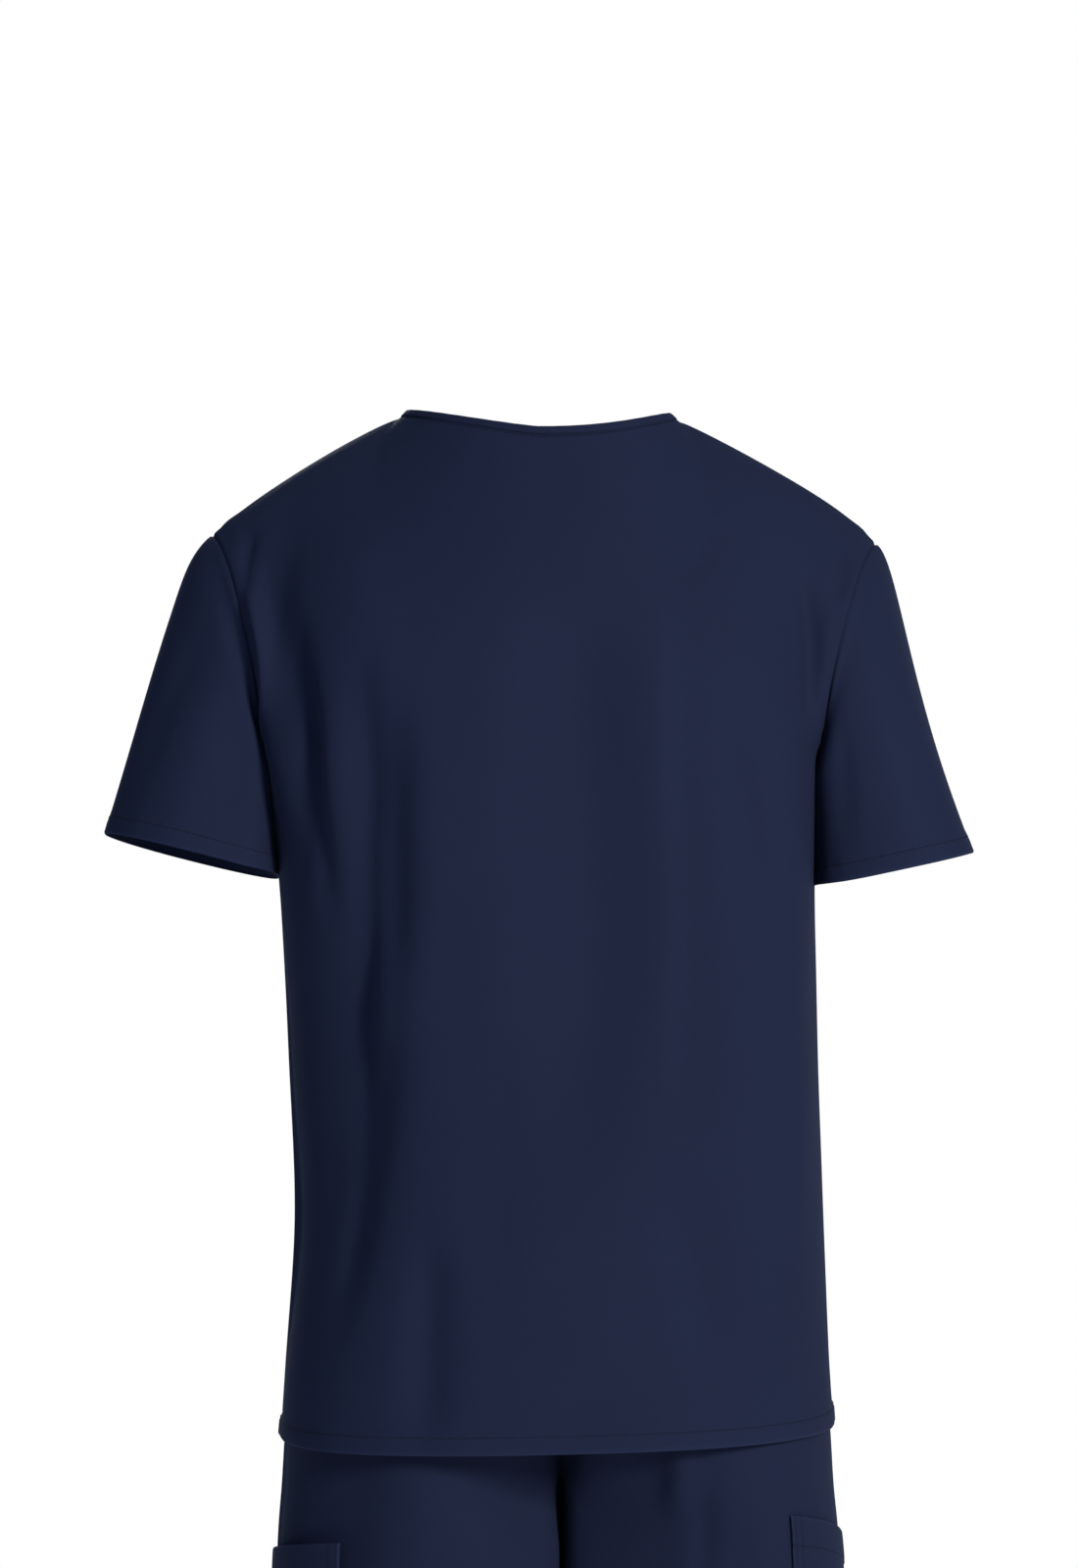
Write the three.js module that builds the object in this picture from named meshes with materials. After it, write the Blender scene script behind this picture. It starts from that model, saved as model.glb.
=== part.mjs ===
// A set of medical scrubs as worn, seen mainly from behind: a loose short-sleeved top with a V neck, and straight
// trousers with a cargo pocket on each thigh. Millimetres, +Z up, +X to the wearer's left, the front faces -Y.
// The origin is the middle of the neck, level with the points where the shoulder seams meet the neck band.
import * as THREE from "three";

// Cloth and sewing
const CLOTH = 1.5; // wall of one layer of cloth
const SEAM_GAP = 0.3; // clear gap between two pieces that are sewn together
const HEM_LIFT = 0.7; // a turned-up hem stands this far proud of the single cloth
const HEM_DEPTH = 13; // height of the turned-up hems
const STEP = 1; // the height over which a hem's edge steps back to the single cloth

// Top: the body's tube, one row for each level, from the hem up to the underarm
const TOP_RINGS = [
  { z: -710, left: 181, right: -206, back: 150, front: -136 },
  { z: -660, left: 178, right: -203, back: 148, front: -136 },
  { z: -560, left: 172, right: -199, back: 143, front: -134 },
  { z: -450, left: 176, right: -195, back: 140, front: -132 },
  { z: -330, left: 182, right: -193, back: 142, front: -133 },
  { z: -240, left: 190, right: -196, back: 145, front: -132 },
];
const TOP_SQUARE = 2.6; // 2 is an ellipse, more is boxier
const HEM_TILT = 0.024; // the hem is lower on the wearer's left by this share of the width

// Top: shoulders, armholes and neck
const SHOULDER_Y = -8; // the shoulder seam runs along the ridge, a little forward of the middle
// bow is 1 for a straight shoulder seam, and more for a rounder one; turn is the share of its drop that comes in the
// last stretch, as it goes over the point of the shoulder.
const SIDES = {
  left: { neckX: 98, neckZ: 0, tipX: 231, tipZ: -83, bow: 1.15, turn: 0.07 },
  right: { neckX: -98, neckZ: -2, tipX: -238, tipZ: -90, bow: 1, turn: 0.12 },
};
const NECK_SHARE = 0.3; // the share of a panel's half width that ends in the neckline
const NECK_STEPS = 14; // facets from one shoulder to the other, the same on the panels and the band
const BACK_NECK = { y: 70, z: -17, out: 34, down: 62 }; // the middle of the neckline, and how the cloth leaves it
const FRONT_NECK = { y: -116, z: -166, out: 6, down: 21 };
const YOKE = { reach: 62, drop: 4, aside: 35 }; // how the cloth leaves the shoulder seam: out, down and sideways
const NECK_BAND = 7; // width of the band sewn round the neckline
const ARMHOLE = { back: 100, front: -96, upper: 0.75 }; // how far the armhole curves back and forward

// Top: sleeves, from the armhole to the sleeve hem. fall is the share by which the hem drops towards the body,
// pitch towards the front; spread and crown say how far the sleeve stands out as it leaves the shoulder, and flare
// how far its outer line leans out at the hem.
const SLEEVES = {
  left: { outer: 305, inner: 184.8, z: -308, fall: 0.25, pitch: 0.08, spread: 0.7, crown: 0.17, flare: 0.3 },
  right: { outer: -305, inner: -194.9, z: -317, fall: 0.215, pitch: 0.01, spread: 0.66, crown: 0.08, flare: 0.4 },
};
const SLEEVE_DEPTH = 72; // half the sleeve hem, from back to front
const SLEEVE_SQUARE = 2.2;

// Folds of the top. at1 and at2 are places round the panel, from 0 at the middle to 1 at the wearer's left side seam
// and -1 at the right one; the trough runs between the heights z1 and z2.
const BACK_FOLDS = [
  { at1: 0.3, z1: -175, at2: 0.34, z2: -420, wide: 0.07, deep: 9 },
  { at1: 0.34, z1: -400, at2: 0.58, z2: -650, wide: 0.08, deep: 9 },
  { at1: 0.56, z1: -150, at2: 0.56, z2: -370, wide: 0.05, deep: 7 },
  { at1: -0.16, z1: -130, at2: -0.22, z2: -520, wide: 0.16, deep: 6 },
  { at1: -0.2, z1: -500, at2: -0.4, z2: -690, wide: 0.1, deep: 4 },
  { at1: -0.42, z1: -200, at2: -0.56, z2: -400, wide: 0.08, deep: 4 },
  { at1: 0.24, z1: -540, at2: 0.25, z2: -730, wide: 0.06, deep: 4 },
];
const FRONT_FOLDS = [
  { at1: 0.42, z1: -200, at2: 0.36, z2: -520, wide: 0.08, deep: 8 },
  { at1: -0.38, z1: -190, at2: -0.46, z2: -600, wide: 0.09, deep: 8 },
  { at1: 0.05, z1: -300, at2: 0.12, z2: -700, wide: 0.14, deep: 5 },
  { at1: -0.62, z1: -260, at2: -0.66, z2: -640, wide: 0.07, deep: 5 },
  { at1: 0.66, z1: -320, at2: 0.62, z2: -690, wide: 0.08, deep: 5 },
];

// Trousers: one row for each level. The centre seams run down the middle to the seat's level, curve under to the
// crotch, and go on as the inside leg seams; parting is how far each of these then lies from the middle.
const WAIST_TOP = -500;
const WAIST_SEAM = -538;
const SEAT = -610;
const CROTCH = -752;
const CENTRE = -14; // the middle of the trousers, with the hips shifted over the right leg
const TROUSER_RINGS = [
  { z: -500, left: 146, right: -168, back: 101, front: -98, parting: 0 },
  { z: -538, left: 150, right: -172, back: 107, front: -102, parting: 0 },
  { z: -610, left: 164, right: -188, back: 124, front: -109, parting: 0 },
  { z: -690, left: 176.6, right: -202.4, back: 124, front: -109, parting: 0 },
  { z: -752, left: 181, right: -207, back: 116, front: -107, parting: 0.2 },
  { z: -777, left: 183, right: -209.5, back: 112.5, front: -105, parting: 0.2 },
  { z: -802, left: 184, right: -211, back: 109, front: -103, parting: 0.4 },
  { z: -900, left: 184, right: -211, back: 99, front: -97, parting: 4.5 },
  { z: -1060, left: 176, right: -204, back: 86, front: -86, parting: 13 },
  { z: -1280, left: 170, right: -198, back: 78, front: -78, parting: 22 },
  { z: -1517, left: 167, right: -195, back: 74, front: -74, parting: 29 },
];
const TROUSER_SQUARE = 2.25;
const LEG_FOLDS = [
  { leg: "left", face: "back", at1: 0.5, z1: -1000, at2: 0.42, z2: -1420, wide: 0.1, deep: 6 },
  { leg: "left", face: "back", at1: 0.75, z1: -820, at2: 0.62, z2: -1150, wide: 0.09, deep: 5 },
  { leg: "right", face: "back", at1: 0.42, z1: -700, at2: 0.46, z2: -1050, wide: 0.1, deep: 7 },
  { leg: "right", face: "back", at1: 0.6, z1: -1100, at2: 0.55, z2: -1480, wide: 0.1, deep: 5 },
  { leg: "left", face: "front", at1: 0.45, z1: -820, at2: 0.5, z2: -1300, wide: 0.1, deep: 6 },
  { leg: "right", face: "front", at1: 0.55, z1: -860, at2: 0.48, z2: -1350, wide: 0.1, deep: 6 },
];

// Cargo pockets: top is the height of the upper edge at the side seam, tilt how much that edge climbs to the back
const POCKETS = {
  left: { top: -795, tilt: 0.19, toBack: 98, toFront: 86 },
  right: { top: -784, tilt: 0.24, toBack: 86, toFront: 90 },
};
const POCKET_HEIGHT = 205;
const POCKET_BAND = 22; // the turned-down band along the pocket's mouth
const POCKET_CLEAR = 0.5; // gap between the pocket and the leg it is sewn on
const POCKET_SLACK = 2.5; // how far the pocket's middle stands off

const NAVY = 0x212943;

// A value of a table's column at height z, on a smooth curve through its rows
function column(rows, key, z) {
  const up = rows[0].z < rows[rows.length - 1].z ? rows : [...rows].reverse();
  const last = up.length - 1;
  const at = Math.min(Math.max(z, up[0].z), up[last].z);
  const i = Math.min(last - 1, Math.max(0, up.findIndex((row) => row.z > at) - 1 + (at >= up[last].z ? last + 1 : 0)));
  const slope = (j) => {
    const a = up[Math.max(0, j - 1)];
    const b = up[Math.min(last, j + 1)];
    return (b[key] - a[key]) / (b.z - a.z);
  };
  const span = up[i + 1].z - up[i].z;
  const t = (at - up[i].z) / span;
  const h = t * t * (3 - 2 * t);
  return (
    up[i][key] * (1 - h) +
    up[i + 1][key] * h +
    slope(i) * span * t * (1 - t) * (1 - t) -
    slope(i + 1) * span * t * t * (1 - t)
  );
}

const mix = (a, b, t) => a + (b - a) * t;
const ease = (t) => {
  const k = Math.min(1, Math.max(0, t));
  return k * k * (3 - 2 * k);
};
const rounded = (value, squareness) => Math.sign(value) * Math.abs(value) ** (2 / squareness);
const point = (x, y, z) => new THREE.Vector3(x, y, z);

// A point on the cubic curve with end points p0 and p3 and handles p1 and p2
function bezier(p0, p1, p2, p3, t) {
  const s = 1 - t;
  return point(0, 0, 0)
    .addScaledVector(p0, s * s * s)
    .addScaledVector(p1, 3 * s * s * t)
    .addScaledVector(p2, 3 * s * t * t)
    .addScaledVector(p3, t * t * t);
}

// How deep the folds press in at a place round the panel and a height
function foldDepth(folds, at, z) {
  return folds.reduce((sum, fold) => {
    const along = (z - fold.z1) / (fold.z2 - fold.z1);
    if (along <= 0 || along >= 1) return sum;
    const middle = mix(fold.at1, fold.at2, along);
    const fade = ease(along / 0.35) * ease((1 - along) / 0.35);
    return sum + fold.deep * fade * Math.exp(-(((at - middle) / fold.wide) ** 2));
  }, 0);
}

// Even steps from a to b, both included
const steps = (a, b, count) => Array.from({ length: count + 1 }, (_, i) => mix(a, b, i / count));

// The direction of a line of points at its i-th point; ends use the next two points, so that they stay true
function slopeOf(line, i, closed) {
  const n = line.length;
  const at = (j) => line[closed ? (j + n) % n : j];
  if (closed || (i > 0 && i < n - 1)) return at(i + 1).clone().sub(at(i - 1));
  const [a, b, c] = i === 0 ? [0, 1, 2] : [n - 1, n - 2, n - 3];
  const d = at(a).clone().multiplyScalar(-3).addScaledVector(at(b), 4).sub(at(c));
  return i === 0 ? d : d.negate();
}

// Outward normals of a grid of rows of points. out is 1 or -1, and round says that each row is a closed loop.
function normalsOf(grid, out, round) {
  const columns = grid[0].map((_, c) => grid.map((row) => row[c]));
  return grid.map((row, r) =>
    row.map((_, c) =>
      slopeOf(row, c, round)
        .cross(slopeOf(columns[c], r, false))
        .normalize()
        .multiplyScalar(out),
    ),
  );
}

// A closed solid between two grids of the same size: an outer face, an inner face and the rims
function solidBetween(outer, inner, round) {
  const rows = outer.length;
  const cols = outer[0].length;
  const position = [];
  [outer, inner].forEach((grid) => grid.forEach((row) => row.forEach((p) => position.push(p.x, p.y, p.z))));
  const index = [];
  const at = (face, r, c) => face * rows * cols + r * cols + (c % cols);
  const quad = (a, b, c, d) => index.push(a, b, c, a, c, d);
  const across = round ? cols : cols - 1;
  for (let r = 0; r < rows - 1; r++)
    for (let c = 0; c < across; c++) {
      quad(at(0, r, c), at(0, r, c + 1), at(0, r + 1, c + 1), at(0, r + 1, c));
      quad(at(1, r, c), at(1, r + 1, c), at(1, r + 1, c + 1), at(1, r, c + 1));
    }
  for (let c = 0; c < across; c++) {
    quad(at(0, 0, c), at(1, 0, c), at(1, 0, c + 1), at(0, 0, c + 1));
    quad(at(0, rows - 1, c), at(0, rows - 1, c + 1), at(1, rows - 1, c + 1), at(1, rows - 1, c));
  }
  if (!round)
    for (let r = 0; r < rows - 1; r++) {
      quad(at(0, r, 0), at(0, r + 1, 0), at(1, r + 1, 0), at(1, r, 0));
      quad(at(0, r, cols - 1), at(1, r, cols - 1), at(1, r + 1, cols - 1), at(0, r + 1, cols - 1));
    }
  const geometry = new THREE.BufferGeometry();
  geometry.setAttribute("position", new THREE.Float32BufferAttribute(position, 3));
  if (signedVolume(position, index) < 0)
    for (let i = 0; i < index.length; i += 3) [index[i + 1], index[i + 2]] = [index[i + 2], index[i + 1]];
  geometry.setIndex(index);
  return geometry;
}

function signedVolume(position, index) {
  const corner = (i) => point(position[3 * i], position[3 * i + 1], position[3 * i + 2]);
  let six = 0;
  for (let i = 0; i < index.length; i += 3)
    six += corner(index[i]).dot(corner(index[i + 1]).cross(corner(index[i + 2])));
  return six / 6;
}

// The cloth's wall on a grid: the grid is its outer face, lift(row, column) moves that face out, and the inner face
// lies one cloth in from the grid. Where onSeam(row, column) is true, the back and the front meet, and the wall
// stands square to the line between them.
function clothWall(grid, out, round = false, lift = () => 0, onSeam = () => false) {
  const normals = normalsOf(grid, out, round);
  normals.forEach((row, r) => row.forEach((n, c) => onSeam(r, c) && n.setY(0).normalize()));
  const moved = (by) => grid.map((row, r) => row.map((p, c) => p.clone().addScaledVector(normals[r][c], by(r, c))));
  return solidBetween(moved(lift), moved(() => -CLOTH), round);
}

// Draws the ends of each row, or of each column, back by half a seam gap
function trimEnds(line) {
  const n = line.length;
  const pull = (a, b) => line[a].clone().addScaledVector(line[b].clone().sub(line[a]).normalize(), SEAM_GAP / 2);
  return [pull(0, 1), ...line.slice(1, n - 1), pull(n - 1, n - 2)];
}
const trimSides = (grid) => grid.map(trimEnds);
function trimTop(grid) {
  const last = grid.length - 1;
  const row = grid[last].map((p, c) =>
    p.clone().addScaledVector(grid[last - 1][c].clone().sub(p).normalize(), SEAM_GAP / 2),
  );
  return [...grid.slice(0, last), row];
}

function clothMaterial(roughness) {
  return new THREE.MeshStandardMaterial({ color: NAVY, roughness, metalness: 0 });
}

function piece(name, geometry, roughness = 0.85) {
  const mesh = new THREE.Mesh(geometry, clothMaterial(roughness));
  mesh.name = name;
  return mesh;
}

// Top: a point of the body's tube. at runs from -1 at the right side seam to 1 at the left one.
function topRing(face, at, z) {
  const angle = (at * Math.PI) / 2;
  const side = at >= 0 ? "left" : "right";
  const middle = (column(TOP_RINGS, "left", z) + column(TOP_RINGS, "right", z)) / 2;
  const reach = Math.abs(column(TOP_RINGS, side, z) - middle);
  return point(
    middle + reach * rounded(Math.sin(angle), TOP_SQUARE),
    column(TOP_RINGS, face, z) * rounded(Math.cos(angle), TOP_SQUARE),
    z,
  );
}

// Top: the neckline. share runs from -1 at the right shoulder to 1 at the left one; inset is the distance from the
// panel's edge towards the open neck.
function neckLine(face, share, inset) {
  const side = share >= 0 ? SIDES.left : SIDES.right;
  const away = Math.abs(share);
  const reach = side.neckX - 0.8 * inset * Math.sign(share);
  if (face === "back") {
    const angle = (away * Math.PI) / 2;
    return point(
      reach * Math.sin(angle),
      mix(SHOULDER_Y, BACK_NECK.y - 0.3 * inset, Math.cos(angle)),
      mix(side.neckZ + 0.75 * inset, BACK_NECK.z + 0.95 * inset, Math.cos(angle) ** 1.2),
    );
  }
  return point(
    reach * away,
    mix(FRONT_NECK.y + 0.3 * inset, SHOULDER_Y, away ** 1.8),
    mix(FRONT_NECK.z + 1.45 * inset, side.neckZ + 0.75 * inset, away ** 1.12),
  );
}

// Top: the upper edge of a panel, along the neckline and then down the shoulder seam
function panelTop(face, at) {
  const share = Math.abs(at);
  if (share <= NECK_SHARE) return neckLine(face, at / NECK_SHARE, 0);
  const side = at >= 0 ? SIDES.left : SIDES.right;
  const along = (share - NECK_SHARE) / (1 - NECK_SHARE);
  const drop = mix(along ** side.bow, along ** 9, side.turn);
  return point(mix(side.neckX, side.tipX, along), SHOULDER_Y, mix(side.neckZ, side.tipZ, drop));
}

// Top: the four points that carry a panel from the underarm's level, over the shoulder blade or the chest, to its
// top. past is how far along the shoulder seam the place lies, edge is 1 at the armhole. The third point lies on a
// smooth line that runs round below the neckline and on behind, or before, the shoulder seam.
function upperHandles(face, at) {
  const low = topRing(face, at, TOP_RINGS[TOP_RINGS.length - 1].z);
  const high = panelTop(face, at);
  const way = face === "back" ? 1 : -1;
  const neck = face === "back" ? BACK_NECK : FRONT_NECK;
  const side = at >= 0 ? SIDES.left : SIDES.right;
  const share = Math.abs(at) / NECK_SHARE;
  const past = Math.max(0, (Math.abs(at) - NECK_SHARE) / (1 - NECK_SHARE));
  const edge = ease(past) ** 1.5;
  const reach = mix(YOKE.reach, Math.abs(ARMHOLE[face]) * ARMHOLE.upper, edge);
  const aside = YOKE.aside * Math.sign(at) * (1 - ease(past / 0.7));
  const drop = YOKE.drop + 0.6 * Math.abs(aside) + 3 * edge;
  const first = point(
    mix(low.x, high.x, 0.12 * (1 - edge)),
    mix(low.y, ARMHOLE[face], edge),
    low.z + (high.z - low.z) * mix(0.42, 0.03, edge),
  );
  const second = point(mix(high.x, low.x, 0.12 * edge) + aside, high.y + way * reach, high.z - drop);
  if (share < 1) {
    const middle = ease(1 - share);
    second.x = share * (side.neckX + aside);
    second.y = mix(SHOULDER_Y + way * reach, neck.y + way * neck.out, middle);
    second.z = mix(side.neckZ - drop, neck.z - neck.down, middle);
  }
  return [low, first, second, high];
}

function topPanel(face) {
  const folds = face === "back" ? BACK_FOLDS : FRONT_FOLDS;
  const hem = TOP_RINGS[0].z;
  const underarm = TOP_RINGS[TOP_RINGS.length - 1].z;
  const across = [
    ...steps(-1, -NECK_SHARE, 10).slice(0, -1),
    ...steps(-NECK_SHARE, NECK_SHARE, NECK_STEPS).slice(0, -1),
    ...steps(NECK_SHARE, 1, 10),
  ];
  const levels = [hem, hem + HEM_DEPTH, hem + HEM_DEPTH + STEP, ...steps(-670, underarm, 10)];
  const low = levels.map((z) => across.map((at) => topRing(face, at, z)));
  low.forEach((row, r) =>
    row.forEach((p) => {
      p.z -= HEM_TILT * p.x * ease((-560 - levels[r]) / 150);
    }),
  );
  const high = steps(0, 1, 8)
    .slice(1)
    .map((t) => across.map((at) => bezier(...upperHandles(face, at), t)));
  const smooth = [...low, ...high];
  const out = face === "back" ? -1 : 1;
  const normals = normalsOf(smooth, out, false);
  const folded = smooth.map((row, r) =>
    row.map((p, c) => p.clone().addScaledVector(normals[r][c], -foldDepth(folds, across[c], p.z))),
  );
  const onSide = (r, c) => r < low.length && (c === 0 || c === across.length - 1);
  const onShoulder = (r, c) => r === smooth.length - 1 && Math.abs(across[c]) > 0.99 * NECK_SHARE;
  const onSeam = (r, c) => onSide(r, c) || onShoulder(r, c);
  return clothWall(trimTop(trimSides(folded)), out, false, (r) => (r < 2 ? HEM_LIFT : 0), onSeam);
}

// Top: the armhole's closed line, from the shoulder tip round the back to the underarm and up the front
function armhole(side, turn) {
  const at = side === "left" ? 1 : -1;
  return turn <= 0.5
    ? bezier(...upperHandles("back", at), 1 - 2 * turn)
    : bezier(...upperHandles("front", at), 2 * turn - 1);
}

function sleeveHem(side, turn) {
  const hem = SLEEVES[side];
  const angle = turn * 2 * Math.PI;
  const middle = (hem.outer + hem.inner) / 2;
  const x = middle + ((hem.outer - hem.inner) / 2) * rounded(Math.cos(angle), SLEEVE_SQUARE);
  const y = SLEEVE_DEPTH * rounded(Math.sin(angle), SLEEVE_SQUARE);
  return point(x, y, hem.z + hem.fall * Math.abs(x) - hem.fall * Math.abs(middle) + hem.pitch * y);
}

function sleeveHandles(side, turn) {
  const way = side === "left" ? 1 : -1;
  const start = armhole(side, turn);
  const end = sleeveHem(side, turn);
  const over = (1 + Math.cos(turn * 2 * Math.PI)) / 2;
  const along = end.distanceTo(start);
  const { spread, crown, flare } = SLEEVES[side];
  const leave = point(way * mix(0.05, spread, over), 0, -mix(0.97, 0.75, over)).normalize();
  const arrive = point(way * mix(-0.05, flare, over), 0, -1).normalize();
  start.addScaledVector(leave, SEAM_GAP * mix(1.5, 4, over));
  start.x += way * SEAM_GAP * (1 - over);
  return [
    start,
    start.clone().addScaledVector(leave, along * mix(0.28, crown, over)),
    end.clone().addScaledVector(arrive, -along * mix(0.33, 0.54, over)),
    end,
  ];
}

function sleeve(side) {
  const turns = steps(0, 1, 28).slice(0, -1);
  const share = HEM_DEPTH / 150;
  const rows = [1, 1 - share, 1 - share - STEP / 150, ...steps(0.8, 0, 7)];
  const grid = rows.map((t) => turns.map((turn) => bezier(...sleeveHandles(side, turn), t)));
  const out = side === "left" ? 1 : -1;
  return clothWall(grid, out, true, (r) => (r < 2 ? HEM_LIFT : 0));
}

// Top: the band round the neck, one strip that is mitred at the point of the V
function neckBand() {
  const back = steps(-1, 1, NECK_STEPS).map((share) => ["back", share]);
  const front = steps(1, -1, NECK_STEPS).slice(1, -1).map((share) => ["front", share]);
  const loop = [...back, ...front];
  const rows = [0, 0.5, 1];
  const start = (face, share) => SEAM_GAP * (face === "front" ? 3 - 2 * Math.abs(share) : 1);
  const grid = rows.map((t) =>
    loop.map(([face, share]) => neckLine(face, share, mix(start(face, share), NECK_BAND, t))),
  );
  return clothWall(grid, 1, true, () => HEM_LIFT);
}

// Trousers: a point of one leg's front or back. at runs from 0 at the side seam to 1 at the centre seam, and below
// the crotch to 1 at the inside leg seam. The section is an arc: a quarter ring at the seat, which grows to a half
// ring at the crotch, where the back's arc and the front's meet.
function trouserPoint(leg, face, at, z) {
  const way = leg === "left" ? 1 : -1;
  const fall = Math.min(1, Math.max(0, (SEAT - z) / (SEAT - CROTCH)));
  const end = (Math.PI / 2) * (1 + fall);
  const angle = at * end;
  const outer = column(TROUSER_RINGS, leg, z);
  const inner = CENTRE + way * column(TROUSER_RINGS, "parting", z);
  const reach = (outer - inner) / (1 - rounded(Math.cos(end), TROUSER_SQUARE));
  return point(
    outer - reach * (1 - rounded(Math.cos(angle), TROUSER_SQUARE)),
    column(TROUSER_RINGS, face, z) * rounded(Math.sin(angle), TROUSER_SQUARE),
    z,
  );
}

const trouserOut = (leg, face) => (leg === "left") === (face === "back") ? 1 : -1;

function trouserPanel(leg, face) {
  const across = steps(0, 1, 12);
  const hem = TROUSER_RINGS[TROUSER_RINGS.length - 1].z;
  const levels = [
    hem,
    hem + HEM_DEPTH,
    hem + HEM_DEPTH + STEP,
    ...steps(-1460, -800, 12),
    ...steps(CROTCH, SEAT, 7),
    ...steps(SEAT, WAIST_SEAM, 3).slice(1),
  ];
  const folds = LEG_FOLDS.filter((fold) => fold.leg === leg && fold.face === face);
  const out = trouserOut(leg, face);
  const smooth = levels.map((z) => across.map((at) => trouserPoint(leg, face, at, z)));
  const normals = normalsOf(smooth, out, false);
  const folded = smooth.map((row, r) =>
    row.map((p, c) => p.clone().addScaledVector(normals[r][c], -foldDepth(folds, across[c], p.z))),
  );
  return clothWall(trimTop(trimSides(folded)), out, false, (r) => (r < 2 ? HEM_LIFT : 0));
}

// Trousers: the elastic waistband, a closed strip
function waistband() {
  const sweep = [
    ...steps(0, 1, 10).map((at) => ["left", "back", at]),
    ...steps(1, 0, 10).slice(1).map((at) => ["right", "back", at]),
    ...steps(0, 1, 10).slice(1).map((at) => ["right", "front", at]),
    ...steps(1, 0, 10).slice(1, -1).map((at) => ["left", "front", at]),
  ];
  const levels = steps(WAIST_SEAM + SEAM_GAP / 2, WAIST_TOP, 2);
  const grid = levels.map((z) => sweep.map(([leg, face, at]) => trouserPoint(leg, face, at, z)));
  return clothWall(grid, 1, true, () => HEM_LIFT);
}

// Trousers: the outline of a cargo pocket on the leg. across runs from 0 at its back edge to 1 at its front edge,
// down from 0 at its mouth to 1 at its bottom.
function pocketPoint(leg, across, down) {
  const pocket = POCKETS[leg];
  const reach = mix(pocket.toBack, -pocket.toFront, across);
  const face = reach >= 0 ? "back" : "front";
  const halfRound = 158; // half way round one side of the thigh, from the side seam to the inside leg seam
  const at = Math.abs(reach) / halfRound / 2;
  const low = pocket.top - POCKET_HEIGHT * down;
  const first = trouserPoint(leg, face, at, low);
  return trouserPoint(leg, face, at, low + pocket.tilt * first.y);
}

function pocketGrid(leg) {
  const band = POCKET_BAND / POCKET_HEIGHT;
  const downs = [0, band / 2, band, band + STEP / POCKET_HEIGHT, ...steps(0.2, 1, 8)];
  return downs.map((down) => steps(0, 1, 12).map((across) => pocketPoint(leg, across, down)));
}

// The pocket lies on the leg: its inner face is clear of the cloth under it, its middle stands off a little, and the
// band along its mouth is as much thicker as a hem.
function cargoPocket(leg) {
  const grid = pocketGrid(leg);
  const normals = normalsOf(grid, leg === "left" ? 1 : -1, false);
  const last = { r: grid.length - 1, c: grid[0].length - 1 };
  const moved = (by) =>
    grid.map((row, r) =>
      row.map((p, c) => {
        const slack = POCKET_SLACK * Math.sin((Math.PI * r) / last.r) * Math.sin((Math.PI * c) / last.c);
        return p.clone().addScaledVector(normals[r][c], by(r) + slack);
      }),
    );
  return solidBetween(moved((r) => POCKET_CLEAR + CLOTH + (r < 3 ? HEM_LIFT : 0)), moved(() => POCKET_CLEAR), false);
}

const scrubs = new THREE.Group();
scrubs.add(piece("top_back", topPanel("back")));
scrubs.add(piece("top_front", topPanel("front")));
scrubs.add(piece("sleeve_left", sleeve("left")));
scrubs.add(piece("sleeve_right", sleeve("right")));
scrubs.add(piece("neck_band", neckBand()));
for (const leg of ["left", "right"]) {
  scrubs.add(piece(`trouser_back_${leg}`, trouserPanel(leg, "back")));
  scrubs.add(piece(`trouser_front_${leg}`, trouserPanel(leg, "front")));
}
scrubs.add(piece("waistband", waistband()));
for (const leg of ["left", "right"]) {
  scrubs.add(piece(`pocket_${leg}`, cargoPocket(leg)));
}

export default scrubs;
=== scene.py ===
# A set of navy medical scrubs in the form it has when worn, seen mainly from behind: a loose top with a V neck and
# short sleeves, and straight trousers with a cargo pocket on the side of each leg. Sizes are in millimetres, and the
# meshes are made in metres.
import bpy
import math
import numpy as np
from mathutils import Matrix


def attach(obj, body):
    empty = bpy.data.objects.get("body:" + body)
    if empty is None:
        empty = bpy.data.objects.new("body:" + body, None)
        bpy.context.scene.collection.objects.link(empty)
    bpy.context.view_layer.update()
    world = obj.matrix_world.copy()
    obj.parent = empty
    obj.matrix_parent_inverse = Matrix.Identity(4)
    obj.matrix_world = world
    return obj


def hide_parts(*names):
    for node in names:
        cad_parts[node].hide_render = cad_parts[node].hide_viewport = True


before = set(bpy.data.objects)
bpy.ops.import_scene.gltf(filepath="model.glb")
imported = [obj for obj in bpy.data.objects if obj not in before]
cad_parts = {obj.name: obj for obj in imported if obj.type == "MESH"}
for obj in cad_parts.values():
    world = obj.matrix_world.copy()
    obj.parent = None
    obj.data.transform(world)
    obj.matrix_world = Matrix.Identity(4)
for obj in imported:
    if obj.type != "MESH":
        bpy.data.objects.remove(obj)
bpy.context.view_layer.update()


# The back of the top: one panel of light woven cloth from the neck and shoulders to the hem. It hangs from the
# shoulder seams, so its folds start below the shoulders and run down. The hem is turned up and sewn once.
CLOTH = 1.2
HEM_LIFT = 0.7
HEM_DEPTH = 13
HEM_ROW = 12.1
TOP_RINGS = [
    {"z": -710, "left": 181, "right": -206, "back": 150, "front": -136},
    {"z": -660, "left": 178, "right": -203, "back": 148, "front": -136},
    {"z": -560, "left": 172, "right": -199, "back": 143, "front": -134},
    {"z": -450, "left": 176, "right": -195, "back": 140, "front": -132},
    {"z": -330, "left": 182, "right": -193, "back": 142, "front": -133},
    {"z": -240, "left": 190, "right": -196, "back": 145, "front": -132},
]
TOP_SQUARE = 2.6
TOP_PITCH = 4.8
HEM_TILT = {"slope": 0.024, "from": -560, "over": 150}
SHOULDER_Y = -8
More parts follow.
